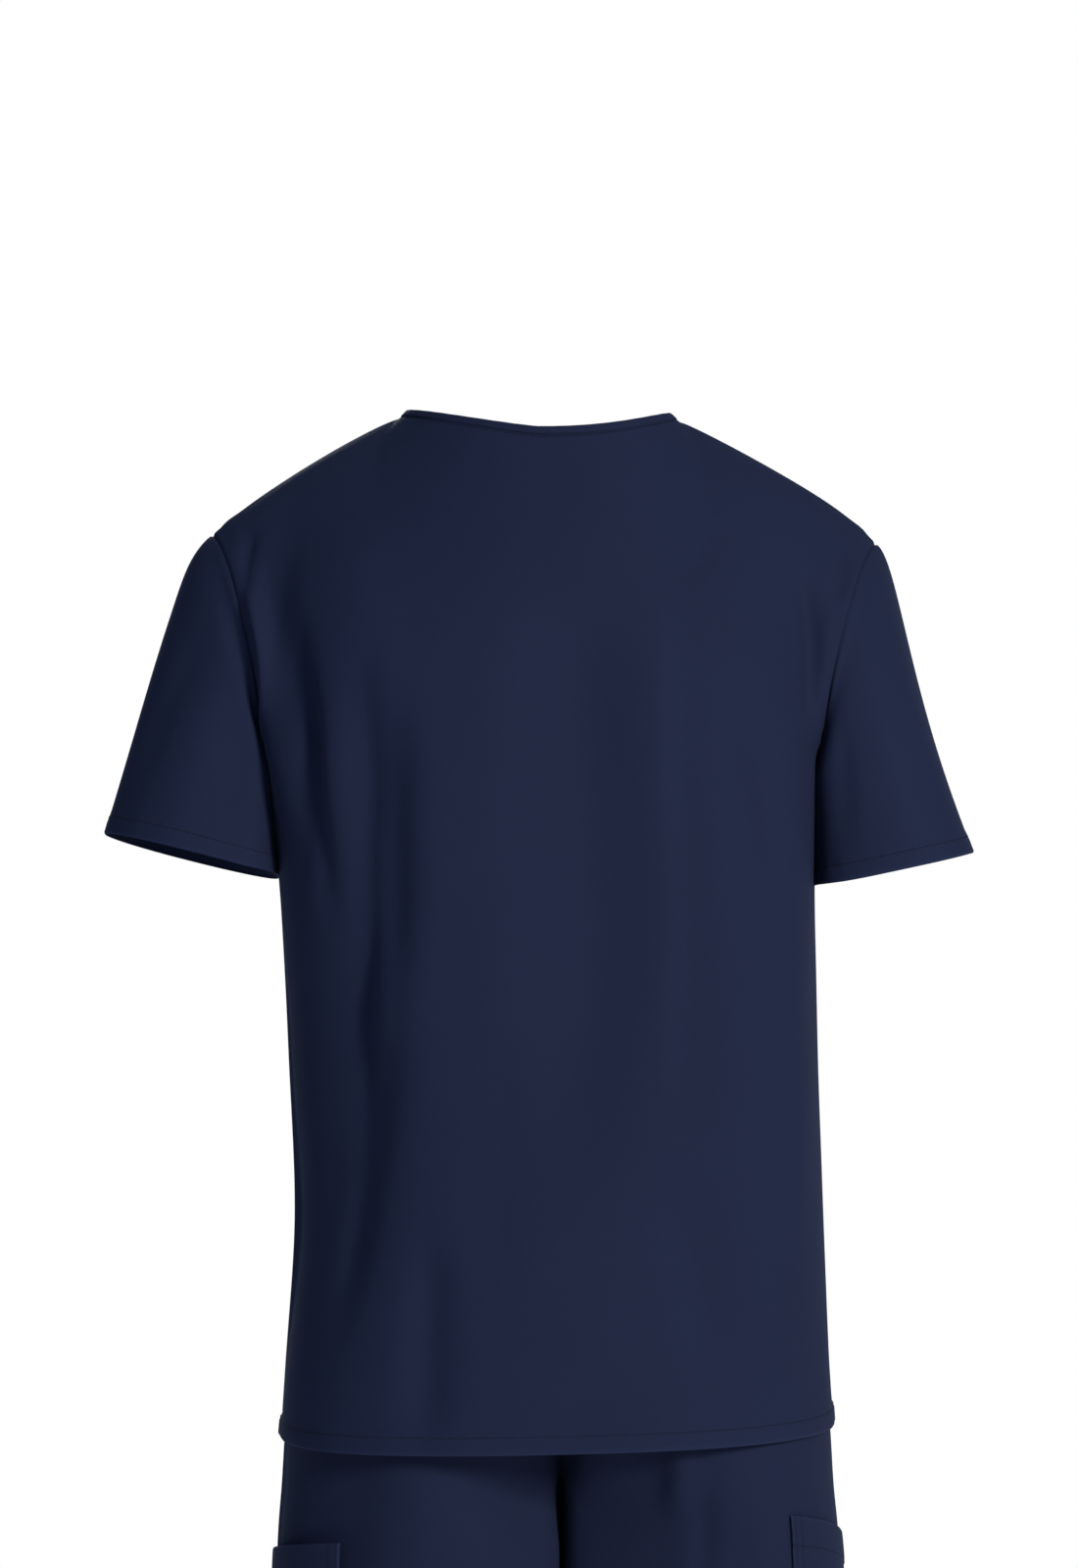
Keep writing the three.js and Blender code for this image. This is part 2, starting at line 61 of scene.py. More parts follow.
SIDES = {
    "left": {"neck_x": 98, "neck_z": 1.2, "neck_bow": 1.25, "tip_x": 231, "tip_z": -83, "bow": 1.16, "turn": 0.07},
    "right": {"neck_x": -98, "neck_z": -0.8, "neck_bow": 2.2, "tip_x": -238, "tip_z": -89, "bow": 1.1, "turn": 0.12},
}
NECK_SHARE = 0.3
NECK_RISE = 0.9
BACK_NECK = {"y": 70, "z": -16.3, "out": 34, "down": 62}
FRONT_NECK = {"y": -116, "z": -166, "out": 6, "down": 21}
YOKE = {"reach": 62, "drop": 4, "aside": 35}
ARMHOLE = {"back": 100, "front": -96, "upper": 0.75, "draw": 0.45, "tuck": 6}
# Main folds: the (place, z) of each one's top and of its foot, how wide it is and how deep. A place runs from -1 at the
# right side seam to 1 at the left one.
BACK_FOLDS = [
    ((0.3, -175), (0.34, -420), 0.07, 9),
    ((0.34, -400), (0.58, -650), 0.08, 9),
    ((0.56, -150), (0.56, -370), 0.05, 7),
    ((-0.16, -130), (-0.22, -520), 0.16, 6),
    ((-0.2, -500), (-0.4, -690), 0.1, 4),
    ((-0.42, -200), (-0.56, -400), 0.08, 4),
    ((0.24, -540), (0.25, -730), 0.06, 4),
]
# Finer creases: the line of each as (x, z) points from its top down, how wide it is on the side of the left sleeve and
# on the side of the right one, and how deep. One whose depth is below 0 is a ridge.
BACK_CREASES = [
    ([(200, -76), (204, -104), (201, -138)], (6, 5), 5.0),
    ([(212, -82), (204, -118), (194, -156), (182, -213), (175, -256), (172, -320)], (9, 11), -9.0),
    ([(160, -128), (163, -180), (157, -230), (160, -275), (166, -345)], (10, 8), 7.0),
    ([(150, -56), (158, -130), (150, -240), (143, -340)], (16, 52), -6.5),
    ([(119, -140), (120, -230), (122, -324), (123, -400), (128, -470), (142, -570)], (16, 10), 10.5),
    ([(136, -300), (144, -400), (147, -490), (153, -590), (162, -700)], (26, 26), 11.0),
    ([(78, -200), (82, -320), (88, -430), (98, -540)], (11, 24), -2.6),
    ([(72, -560), (74, -630), (70, -712)], (14, 9), 1.6),
    ([(-20, -80), (-26, -200), (-30, -350), (-20, -570)], (38, 30), 8.0),
    ([(-84, -76), (-82, -200), (-86, -360), (-80, -560)], (24, 10), -5.0),
    ([(-160, -110), (-166, -300), (-170, -500), (-172, -730)], (48, 17), -7.5),
    ([(-128, -200), (-142, -290), (-148, -385)], (12, 8), 3.6),
    ([(-180, -100), (-188, -160), (-184, -230)], (6, 7), 4.6),
    ([(-212, -82), (-211, -108), (-204, -140)], (5, 6), 4.0),
    ([(-98, -540), (-108, -620), (-122, -706)], (16, 12), 2.2),
    ([(22, -400), (30, -520), (32, -660)], (22, 16), 1.6),
    ([(-126, -72), (-108, -104), (-84, -132)], (12, 12), 1.8),
]


def mix(a, b, t):
    return a + (b - a) * t


def ease(t):
    k = np.clip(t, 0, 1)
    return k * k * (3 - 2 * k)


def bell(t):
    return np.exp(-(t**2))


def rounded(value, squareness):
    return np.sign(value) * np.abs(value) ** (2 / squareness)


def stacked(x, y, z):
    return np.stack(np.broadcast_arrays(x, y, z), -1).astype(float)


def column(rows, key, z):
    """A value of a table's column at height z, on a smooth curve through its rows."""
    up = sorted(rows, key=lambda row: row["z"])
    level = np.array([row["z"] for row in up], float)
    value = np.array([row[key] for row in up], float)
    last = len(up) - 1
    before = np.maximum(np.arange(last + 1) - 1, 0)
    after = np.minimum(np.arange(last + 1) + 1, last)
    slope = (value[after] - value[before]) / (level[after] - level[before])
    at = np.clip(z, level[0], level[-1])
    i = np.clip(np.searchsorted(level, at, side="right") - 1, 0, last - 1)
    span = level[i + 1] - level[i]
    t = (at - level[i]) / span
    h = t * t * (3 - 2 * t)
    bend = slope[i] * span * t * (1 - t) ** 2 - slope[i + 1] * span * t * t * (1 - t)
    return value[i] * (1 - h) + value[i + 1] * h + bend


def curve(handles, t):
    """Points on the cubic curves whose four control points are given; t is a column of places along them."""
    t = np.asarray(t, float).reshape(-1, 1, 1)
    s = 1 - t
    p0, p1, p2, p3 = handles
    return p0 * s**3 + p1 * 3 * s * s * t + p2 * 3 * s * t * t + p3 * t**3


def top_ring(face, at, z):
    """A point of the top's tube; at runs from -1 at the right side seam to 1 at the left one."""
    left = column(TOP_RINGS, "left", z)
    right = column(TOP_RINGS, "right", z)
    x = (left + right) / 2 + (left - right) / 2 * rounded(np.sin(at * np.pi / 2), TOP_SQUARE)
    y = column(TOP_RINGS, face, z) * rounded(np.cos(at * np.pi / 2), TOP_SQUARE)
    return stacked(x, y, z)


def side_value(at, key):
    return np.where(np.asarray(at) >= 0, SIDES["left"][key], SIDES["right"][key]).astype(float)


def neck_line(face, share, inset):
    """The neckline, from -1 at the right shoulder to 1 at the left; inset goes from the panel towards the neck."""
    away = np.abs(share)
    reach = side_value(share, "neck_x") - 0.8 * inset * np.sign(share)
    neck_z = side_value(share, "neck_z") + 0.75 * inset
    if face == "back":
        level = np.clip(np.cos(away * np.pi / 2), 0, 1)
        y = mix(SHOULDER_Y, BACK_NECK["y"] - 0.3 * inset, level)
        aside = np.sin(away * np.pi / 2)
        z = mix(BACK_NECK["z"] + 0.95 * inset, neck_z, aside ** side_value(share, "neck_bow"))
        return stacked(reach * aside, y, z)
    y = mix(FRONT_NECK["y"] + 0.3 * inset, SHOULDER_Y, away**1.8)
    return stacked(reach * away, y, mix(FRONT_NECK["z"] + 1.45 * inset, neck_z, away**1.12))


def neck_rise(share):
    """How far up the band's width the panels' edge reaches; it runs out at the shoulders."""
    return NECK_RISE * (1 - ease((np.abs(share) - 0.88) / 0.12))


def panel_top(face, at):
    """The upper edge of a panel, along the neckline and then down the shoulder seam."""
    along = np.clip((np.abs(at) - NECK_SHARE) / (1 - NECK_SHARE), 0, 1)
    drop = mix(along ** side_value(at, "bow"), along**9, side_value(at, "turn"))
    x = mix(side_value(at, "neck_x"), side_value(at, "tip_x"), along)
    z = mix(side_value(at, "neck_z"), side_value(at, "tip_z"), drop)
    shoulder = stacked(x, float(SHOULDER_Y), z)
    share = np.clip(at / NECK_SHARE, -1, 1)
    neck = neck_line(face, share, neck_rise(share))
    return np.where((np.abs(at) <= NECK_SHARE)[..., None], neck, shoulder)


def upper_handles(face, at):
    """The four points that carry a panel from the lower end of the armholes, over its fullest part, to its top."""
    at = np.atleast_1d(np.asarray(at, float))
    low = top_ring(face, at, np.full(at.shape, TOP_RINGS[-1]["z"], float))
    high = panel_top(face, at)
    way = 1 if face == "back" else -1
    neck = BACK_NECK if face == "back" else FRONT_NECK
    share = np.abs(at) / NECK_SHARE
    past = np.maximum(0, (np.abs(at) - NECK_SHARE) / (1 - NECK_SHARE))
    edge = ease(past) ** 1.5
    reach = mix(YOKE["reach"], abs(ARMHOLE[face]) * ARMHOLE["upper"], edge)
    aside = YOKE["aside"] * np.sign(at) * (1 - ease(past / 0.7))
    drop = YOKE["drop"] + 0.6 * np.abs(aside) + 3 * edge
    first = stacked(
        mix(low[:, 0], high[:, 0], 0.12 * (1 - edge)) - ARMHOLE["tuck"] * edge * np.sign(at),
        mix(low[:, 1], ARMHOLE[face], edge),
        low[:, 2] + (high[:, 2] - low[:, 2]) * mix(0.42, 0.03, edge),
    )
    drawn = mix(high[:, 0], low[:, 0], ARMHOLE["draw"] * edge)
    outer = stacked(drawn + aside, high[:, 1] + way * reach, high[:, 2] - drop)
    middle = ease(1 - share)
    inner = stacked(
        share * (side_value(at, "neck_x") + aside),
        mix(SHOULDER_Y + way * reach, neck["y"] + way * neck["out"], middle),
        mix(side_value(at, "neck_z") - drop, neck["z"] - neck["down"], middle),
    )
    return low, first, np.where((share < 1)[:, None], inner, outer), high


# Rows of points lie close together beside a seam and over a hem, where the cloth bends most.
EDGE_STEPS = np.array([0, 0.6, 1.3, 2.2, 3.4, 5.0, 7.0, 9.4])
HEM_STEPS = np.array([0, 0.4, 0.9, 2, 4.5, 7.5, 10, 11.2, 12.1, 13, 13.8, 14.8, 17])


def even_steps(start, end, pitch):
    return np.linspace(start, end, max(2, round(abs(end - start) / pitch) + 1))


def lengths(line):
    return np.concatenate([[0], np.cumsum(np.linalg.norm(np.diff(line, axis=0), axis=1))])


def fold_depth(folds, at, z):
    """How deep the main folds press in at a place round the panel and a height."""
    depth = np.zeros(np.broadcast(at, z).shape)
    for (start, top), (end, foot), wide, deep in folds:
        along = (z - top) / (foot - top)
        fade = ease(along / 0.35) * ease((1 - along) / 0.35)
        depth += deep * fade * bell((at - mix(start, end, along)) / wide)
    return depth


def crease_depth(creases, x, z):
    """How deep the finer creases press in at a place."""
    depth = np.zeros(np.broadcast(x, z).shape)
    for points, wide, deep in creases:
        line = [{"x": point[0], "z": point[1]} for point in points]
        along = (z - line[0]["z"]) / (line[-1]["z"] - line[0]["z"])
        away = x - column(line, "x", z)
        fade = ease(along / 0.3) * ease((1 - along) / 0.4)
        depth += deep * fade * bell(away / np.where(away > 0, *wide))
    return depth


def outward(grid, way, closed):
    """Outward directions of a grid of points; closed says that each row goes all round."""
    along = np.roll(grid, -1, 1) - np.roll(grid, 1, 1) if closed else np.gradient(grid, axis=1)
    across = np.cross(along, np.gradient(grid, axis=0))
    return way * across / np.maximum(np.linalg.norm(across, axis=-1, keepdims=True), 1e-9)


def arcs(grid):
    """The distance of each point from the first column and from the first row, along the cloth."""
    along = np.linalg.norm(np.diff(grid, axis=1), axis=-1)
    up = np.linalg.norm(np.diff(grid, axis=0), axis=-1)
    along = np.concatenate([np.zeros((grid.shape[0], 1)), np.cumsum(along, 1)], 1)
    return along, np.concatenate([np.zeros((1, grid.shape[1])), np.cumsum(up, 0)], 0)


def seam_roll(distance, deep=1.1, wide=1.7):
    """Cloth dips where it is sewn to the next piece."""
    return -deep * bell(distance / wide)


def welt(distance, middle, wide, high):
    """The soft ridge over a seam allowance that lies under the cloth."""
    return high * bell((distance - middle) / wide)


def hem_relief(height, along):
    """A turned-up hem: its rounded fold, its double thickness and the sewn line, with small puckers along it."""
    band = HEM_LIFT * (1 - ease((height - HEM_DEPTH) / 1.4))
    fold = -0.8 * bell(height / 0.7)
    row = -0.8 * bell((height - HEM_ROW) / 1.1)
    ripple = np.sin(along / 1.55 + 1.7 * np.sin(along / 37)) + 0.6 * np.sin(along / 2.6 + 2.1 * np.sin(along / 23))
    pucker = 0.22 * ripple * bell((height - 12) / 5.5)
    wave = 0.7 * np.sin(along / 31 + 1.2 * np.sin(along / 71)) * np.exp(-height / 40)
    return band + fold + row + pucker + wave


def unevenness(along, up):
    """Woven cloth is never quite smooth: slow waves of a fraction of a millimetre."""
    slow = np.sin(along / 23 + 1.3 * np.sin(up / 61)) * np.sin(up / 87 + 0.6)
    fine = np.sin(along / 11.5 + up / 47 + 2.0) * np.sin(up / 29 + 1.1 * np.sin(along / 53))
    return 0.4 * slow + 0.16 * fine


def worn_hem(up):
    """How pale the cloth is along the fold of a hem."""
    return bell(up / 1.6)


# What each sewn sheet leaves for its stitches: its points, its outward directions and its lengths both ways.
sewn = {}


def sew_sheet(name, grid, relief, way, closed=False, thick=CLOTH, worn=None):
    """Raises a grid of points by its relief, and makes it a thin shell of cloth with its lengths as its UV map. The
    way is 1 where its rows go up and its columns run counter-clockwise seen from above, and -1 where one is turned."""
    normals = outward(grid, way, closed)
    raised = grid + normals * relief[..., None]
    along, up = arcs(grid)
    sewn[name] = (raised, outward(raised, way, closed), along, up)
    worn = np.zeros(relief.shape) if worn is None else np.broadcast_to(worn, relief.shape)
    if closed:
        end = along[:, -1:] + np.linalg.norm(grid[:, :1] - grid[:, -1:], axis=-1)
        raised, up, worn = (np.concatenate([a, a[:, :1]], 1) for a in (raised, up, worn))
        along = np.concatenate([along, end], 1)
    rows, cols = raised.shape[:2]
    bpy.ops.object.select_all(action="DESELECT")
    bpy.ops.mesh.primitive_grid_add(x_subdivisions=cols - 1, y_subdivisions=rows - 1, size=1)
    piece = bpy.context.object
    piece.name = piece.data.name = name
    mesh = piece.data
    mesh.vertices.foreach_set("co", (raised / 1000).ravel())
    corner = np.empty(len(mesh.loops), int)
    mesh.loops.foreach_get("vertex_index", corner)
    uv = np.stack([along, up], -1).reshape(-1, 2) / 1000
    mesh.uv_layers.active.data.foreach_set("uv", uv[corner].ravel())
    mesh.attributes.new("worn", "FLOAT", "POINT").data.foreach_set("value", worn.ravel())
    mesh.update()
    bpy.ops.object.mode_set(mode="EDIT")
    bpy.ops.mesh.select_all(action="SELECT")
    if closed:
        bpy.ops.mesh.remove_doubles(threshold=1e-6)
    if way < 0:
        bpy.ops.mesh.flip_normals()
    bpy.ops.object.mode_set(mode="OBJECT")
    wall = piece.modifiers.new("wall", "SOLIDIFY")
    wall.thickness = thick / 1000
    wall.offset = -1
    bpy.ops.object.modifier_apply(modifier="wall")
    bpy.ops.object.shade_smooth_by_angle(angle=math.radians(55))
    return piece


THREAD_PITCH = 0.55


def blank_material(name):
    made = bpy.data.materials.new(name)
    made.use_nodes = True
    nodes = made.node_tree.nodes
    return made, nodes, made.node_tree.links, nodes["Principled BSDF"]


def colour_mix(nodes, first, second=None):
    """A node that goes from one colour to the other, or is left to be linked to a second one."""
    tone = nodes.new("ShaderNodeMix")
    tone.data_type = "RGBA"
    for socket, colour in ((6, first), (7, second)):
        if colour:
            tone.inputs[socket].default_value = (*colour, 1)
    return tone


def navy_cloth(name, base_colour):
    """Plain-woven dyed cloth: threads both ways, thicker threads here and there, slightly uneven dyeing, a faint
    bloom on its raised folds, and paler edges where it is handled."""
    made, nodes, links, shader = blank_material(name)
    shader.inputs["Sheen Weight"].default_value = 0.03
    shader.inputs["Sheen Roughness"].default_value = 0.45
    shader.inputs["Sheen Tint"].default_value = (0.55, 0.66, 1.0, 1)
    shader.inputs["Specular IOR Level"].default_value = 0.11
    place = nodes.new("ShaderNodeTexCoord")

    def threads(direction):
        wave = nodes.new("ShaderNodeTexWave")
        wave.bands_direction = direction
        wave.inputs["Scale"].default_value = 314 / THREAD_PITCH
        wave.inputs["Distortion"].default_value = 0.6
        wave.inputs["Detail"].default_value = 1
        links.new(place.outputs["UV"], wave.inputs["Vector"])
        return wave.outputs["Fac"]

    def noise(source, scale, stretch, detail):
        spread = nodes.new("ShaderNodeMapping")
        spread.inputs["Scale"].default_value = stretch
        links.new(place.outputs[source], spread.inputs["Vector"])
        cloud = nodes.new("ShaderNodeTexNoise")
        cloud.inputs["Scale"].default_value = scale
        cloud.inputs["Detail"].default_value = detail
        links.new(spread.outputs["Vector"], cloud.inputs["Vector"])
        return cloud.outputs["Fac"]

    def maths(kind, a, b):
        node = nodes.new("ShaderNodeMath")
        node.operation = kind
        for socket, value in zip(node.inputs, (a, b)):
            if isinstance(value, (int, float)):
                socket.default_value = value
            else:
                links.new(value, socket)
        return node.outputs[0]

    weft = threads("X")
    warp = threads("Y")
    slubs = maths("ADD", noise("UV", 1, (160, 2600, 1), 2), noise("UV", 1, (2600, 160, 1), 2))
    dye_cloud = noise("Object", 7, (1, 1, 1), 3)
    grain = noise("UV", 900, (1, 1, 1), 1)
    height = maths("ADD", maths("MAXIMUM", weft, warp), maths("MULTIPLY", slubs, 0.7))
    bump = nodes.new("ShaderNodeBump")
    bump.inputs["Strength"].default_value = 0.35
    bump.inputs["Distance"].default_value = 0.00012
    links.new(height, bump.inputs["Height"])
    links.new(bump.outputs["Normal"], shader.inputs["Normal"])
    shade = maths("ADD", maths("MULTIPLY", slubs, 0.26), maths("MULTIPLY", dye_cloud, 0.22))
    shade = maths("ADD", shade, maths("MULTIPLY", grain, 0.2))
    shade = maths("ADD", shade, 0.54)
    tone = colour_mix(nodes, base_colour)
    tone.blend_type = "MULTIPLY"
    tone.inputs[0].default_value = 1
    links.new(shade, tone.inputs[7])
    edge = nodes.new("ShaderNodeAttribute")
    edge.attribute_name = "worn"
    pale = colour_mix(nodes, None, [min(1, c * 1.9 + 0.004) for c in base_colour])
    links.new(maths("MULTIPLY", edge.outputs["Fac"], 0.35), pale.inputs[0])
    links.new(tone.outputs[2], pale.inputs[6])
    links.new(pale.outputs[2], shader.inputs["Base Color"])
    links.new(maths("ADD", maths("MULTIPLY", slubs, 0.08), 0.74), shader.inputs["Roughness"])
    return made


def finish_piece(piece, node, cloth):
    piece.data.materials.clear()
    piece.data.materials.append(cloth)
    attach(piece, "root")
    if node:
        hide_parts(node)


def top_levels():
    hem = TOP_RINGS[0]["z"]
    body = even_steps(HEM_STEPS[-1], TOP_RINGS[-1]["z"] - hem, TOP_PITCH)
    return hem + np.concatenate([HEM_STEPS, body[1:]])


def panel_places(face):
    """The places round a panel: close together by the side seams, even between, with the neck's corners kept."""
    at = np.sin(np.linspace(-np.pi / 2, np.pi / 2, 4001))
    far = lengths(top_ring(face, at, np.full(at.shape, -450.0)))
    corner = [np.interp(-NECK_SHARE, at, far), np.interp(NECK_SHARE, at, far)]
    first = even_steps(EDGE_STEPS[-1], corner[0], TOP_PITCH)
    middle = even_steps(corner[0], corner[1], 4.4)
    last = even_steps(corner[1], far[-1] - EDGE_STEPS[-1], TOP_PITCH)
    wanted = [EDGE_STEPS[:-1], first[:-1], middle[:-1], last, far[-1] - EDGE_STEPS[-2::-1]]
    return np.interp(np.concatenate(wanted), far, at)


def top_sheet(face):
    """The panel's smooth form, from the hem up to the neckline and the shoulder seams."""
    at = panel_places(face)
    levels = top_levels()
    low = top_ring(face, at[None, :], levels[:, None])
    low[..., 2] -= HEM_TILT["slope"] * low[..., 0] * ease((HEM_TILT["from"] - levels[:, None]) / HEM_TILT["over"])
    t = np.linspace(0, 1, 400)
    far = lengths(curve(upper_handles(face, [0.62]), t)[:, 0])
    wanted = np.concatenate([even_steps(0, far[-1] - EDGE_STEPS[-1], 4.6)[1:], far[-1] - EDGE_STEPS[-2::-1]])
    high = curve(upper_handles(face, at), np.interp(wanted, far, t))
    return at, np.concatenate([low, high])


def top_relief(at, grid, folds, creases, armhole_ridge):
    along, up = arcs(grid)
    side = np.minimum(along, along[:, -1:] - along)
    top = up[-1:] - up
    relief = -fold_depth(folds, at[None, :], grid[..., 2])
    relief -= crease_depth(creases, grid[..., 0], grid[..., 2]) * ease((side - 2) / 12)
    calm = ease(side / 25) * ease(top / 25) * ease((up - 8) / 25)
    relief += unevenness(along, up) * calm
    relief += hem_relief(up, along)
    relief += 1.3 * bell(side / 16) * (1 - ease((up - HEM_DEPTH) / 1.5))
    over_arm = ease((grid[..., 2] - TOP_RINGS[-1]["z"]) / 12)
    relief += seam_roll(side) * ease(up / 10) * mix(0.3, 1, ease(top / 25))
    relief += welt(side, 5.5, 2.6, 0.35) * (1 - over_arm)
    relief += (welt(side, 4.2, 2.3, 0.8) + armhole_ridge * welt(side, 15, 8, 1.0)) * over_arm
    neck = np.abs(at[None, :]) <= NECK_SHARE
    relief += np.where(neck, seam_roll(top, 0.5, 1.2), seam_roll(top)) + welt(top, 5, 2.4, 0.4) * ~neck
    return relief


TOP_DYE = (0.0123, 0.0175, 0.0440)
top_cloth = navy_cloth("top_cloth_woven", TOP_DYE)
places, grid = top_sheet("back")
relief = top_relief(places, grid, BACK_FOLDS, BACK_CREASES, 1.0)
top_back = sew_sheet("top_back_cloth", grid, relief, -1, worn=worn_hem(arcs(grid)[1]))
finish_piece(top_back, "top_back", top_cloth)


# The front of the top: the same panel with a deep V cut in it, sewn to the back at the sides and the shoulders. Its
# folds fall from the chest and the V.
FRONT_FOLDS = [
    ((0.42, -200), (0.36, -520), 0.08, 8),
    ((-0.38, -190), (-0.46, -600), 0.09, 8),
    ((0.05, -300), (0.12, -700), 0.14, 5),
    ((-0.62, -260), (-0.66, -640), 0.07, 5),
    ((0.66, -320), (0.62, -690), 0.08, 5),
]
FRONT_CREASES = [
    ([(190, -80), (196, -110), (195, -150)], (6, 7), 4.5),
    ([(-192, -86), (-197, -125), (-196, -168)], (7, 6), 4.8),
    ([(-174, -125), (-170, -210), (-166, -320)], (9, 8), 5.0),
    ([(170, -135), (166, -230), (158, -350)], (8, 9), 5.0),
    ([(130, -160), (122, -280), (108, -430)], (14, 10), 5.5),
    ([(-110, -170), (-122, -300), (-132, -460)], (10, 14), 5.5),
    ([(18, -195), (28, -300), (34, -440)], (18, 14), 3.2),
    ([(-30, -190), (-42, -290), (-50, -420)], (14, 16), 3.0),
    ([(96, -60), (70, -110), (40, -160)], (14, 12), 2.0),
    ([(-100, -64), (-76, -112), (-46, -160)], (12, 14), 2.0),
    ([(58, -410), (70, -540), (80, -705)], (16, 11), 4.0),
    ([(-66, -460), (-76, -580), (-88, -708)], (12, 16), 4.0),
    ([(-148, -400), (-158, -520), (-163, -680)], (10, 12), 4.4),
    ([(144, -440), (146, -560), (138, -700)], (12, 10), 4.2),
]
places, grid = top_sheet("front")
relief = top_relief(places, grid, FRONT_FOLDS, FRONT_CREASES, 0.5)
top_front = sew_sheet("top_front_cloth", grid, relief, 1, worn=worn_hem(arcs(grid)[1]))
finish_piece(top_front, "top_front", top_cloth)


# The sleeves: one short set-in piece of the same cloth each, sewn into the armhole all round. They hang down and
# outwards from the shoulder, with soft hollows by the armhole, and their hems are turned up like the top's.
SLEEVES = {
    "left": {"outer": 305, "inner": 184.8, "z": -308, "fall": 0.25, "pitch": 0.08},
    "right": {"outer": -305, "inner": -194.9, "z": -317, "fall": 0.215, "pitch": 0.01},
}
SLEEVE_LINES = {
    "left": {"spread": 0.7, "crown": 0.17, "flare": 0.3},
    "right": {"spread": 0.66, "crown": 0.08, "flare": 0.4},
}
SLEEVE_DEPTH = 72
SLEEVE_SQUARE = 2.2
# Creases: the (turn, t) of each one's top and of its foot, how wide it is and how deep. A turn is 0 on the sleeve's
# outer line, 0.25 at its back, 0.5 on its inner line and 0.75 in front; t runs from the armhole to the hem.
SLEEVE_CREASES = {
    "left": [
        ((0.17, 0.2), (0.1, 1.05), 0.045, 4.0),
        ((0.27, 0.25), (0.24, 1.2), 0.05, -2.4),
        ((0.62, 0.05), (0.66, 0.9), 0.035, 4.0),
        ((0.84, 0.05), (0.78, 0.7), 0.028, 3.4),
        ((0.9, 0.3), (0.88, 1.0), 0.03, 2.0),
    ],
    "right": [
        ((0.13, 0.0), (0.17, 0.22), 0.012, 1.6),
        ((0.3, 0.1), (0.37, 1.0), 0.03, 1.6),
        ((0.14, 0.3), (0.17, 1.1), 0.04, 1.6),
        ((0.61, 0.05), (0.63, 0.9), 0.035, 4.0),
        ((0.83, 0.05), (0.76, 0.75), 0.028, 3.4),
        ((0.9, 0.35), (0.87, 1.0), 0.03, 2.0),
    ],
}
# How deep the cloth dips beside the armhole's seam, how far the lower back of a sleeve leans against the body's side
# and stands out behind it, where it does so, how full its outer line is, and how far its edge is tucked under the
# body's, both along the cloth and inwards.
SLEEVE_HOLLOW = {"left": 3.0, "right": 1.0}
SLEEVE_BY_BODY = {"turn": 0.405, "wide": 0.075, "t": 0.35}
SLEEVE_LEAN = 7.0
SLEEVE_FORWARD = {"left": 9.0, "right": 5.0}
SLEEVE_FULL = {"left": {"out": 2.6, "t": 0.16, "long": 0.2}, "right": {"out": 2.3, "t": 0.28, "long": 0.36}}
SLEEVE_TUCK = 2.6
SLEEVE_UNDER = -2.2


def armhole(side, turn):
    at = 1 if side == "left" else -1
    behind = curve(upper_handles("back", [at]), 1 - 2 * np.minimum(turn, 0.5))[:, 0]
    before = curve(upper_handles("front", [at]), 2 * np.maximum(turn, 0.5) - 1)[:, 0]
    return np.where((turn <= 0.5)[:, None], behind, before)


def sleeve_hem(side, turn):
    hem = SLEEVES[side]
    middle = (hem["outer"] + hem["inner"]) / 2
    x = middle + (hem["outer"] - hem["inner"]) / 2 * rounded(np.cos(turn * 2 * np.pi), SLEEVE_SQUARE)
    y = SLEEVE_DEPTH * rounded(np.sin(turn * 2 * np.pi), SLEEVE_SQUARE)
    return stacked(x, y, hem["z"] + hem["fall"] * np.abs(x) - hem["fall"] * abs(middle) + hem["pitch"] * y)


def sleeve_handles(side, turn):
    way = 1 if side == "left" else -1
    lines = SLEEVE_LINES[side]
    start = armhole(side, turn)
    end = sleeve_hem(side, turn)
    over = (1 + np.cos(turn * 2 * np.pi)) / 2
    far = np.linalg.norm(end - start, axis=1)
    leave = stacked(way * mix(0.05, lines["spread"], over), 0.0, -mix(0.97, 0.75, over))
    leave /= np.linalg.norm(leave, axis=1, keepdims=True)
    arrive = stacked(way * mix(-0.05, lines["flare"], over), 0.0, -1.0)
    arrive /= np.linalg.norm(arrive, axis=1, keepdims=True)
    first = start + leave * (far * mix(0.28, lines["crown"], over))[:, None]
    second = end - arrive * (far * mix(0.33, 0.54, over))[:, None]
    return start, first, second, end


def sleeve_sheet(side):
    turn = np.linspace(0, 1, 1601)
    far = lengths(curve(sleeve_handles(side, turn), [0.7])[0])
    turn = np.interp(np.linspace(0, far[-1], 117)[:-1], far, turn)
    t = np.linspace(0, 1, 400)
    far = lengths(curve(sleeve_handles(side, np.array([0.25])), t)[:, 0])
    body = even_steps(far[-1] - HEM_STEPS[-1], EDGE_STEPS[-1], 4.4)
    wanted = np.concatenate([far[-1] - HEM_STEPS[:-1], body, EDGE_STEPS[-2::-1]])
    t = np.interp(wanted, far, t)
    handles = sleeve_handles(side, turn)
    leave = handles[1] - handles[0]
    under = handles[0] - SLEEVE_TUCK * leave / np.linalg.norm(leave, axis=1, keepdims=True)
    return turn, np.append(t, 0), np.concatenate([curve(handles, t), under[None]])


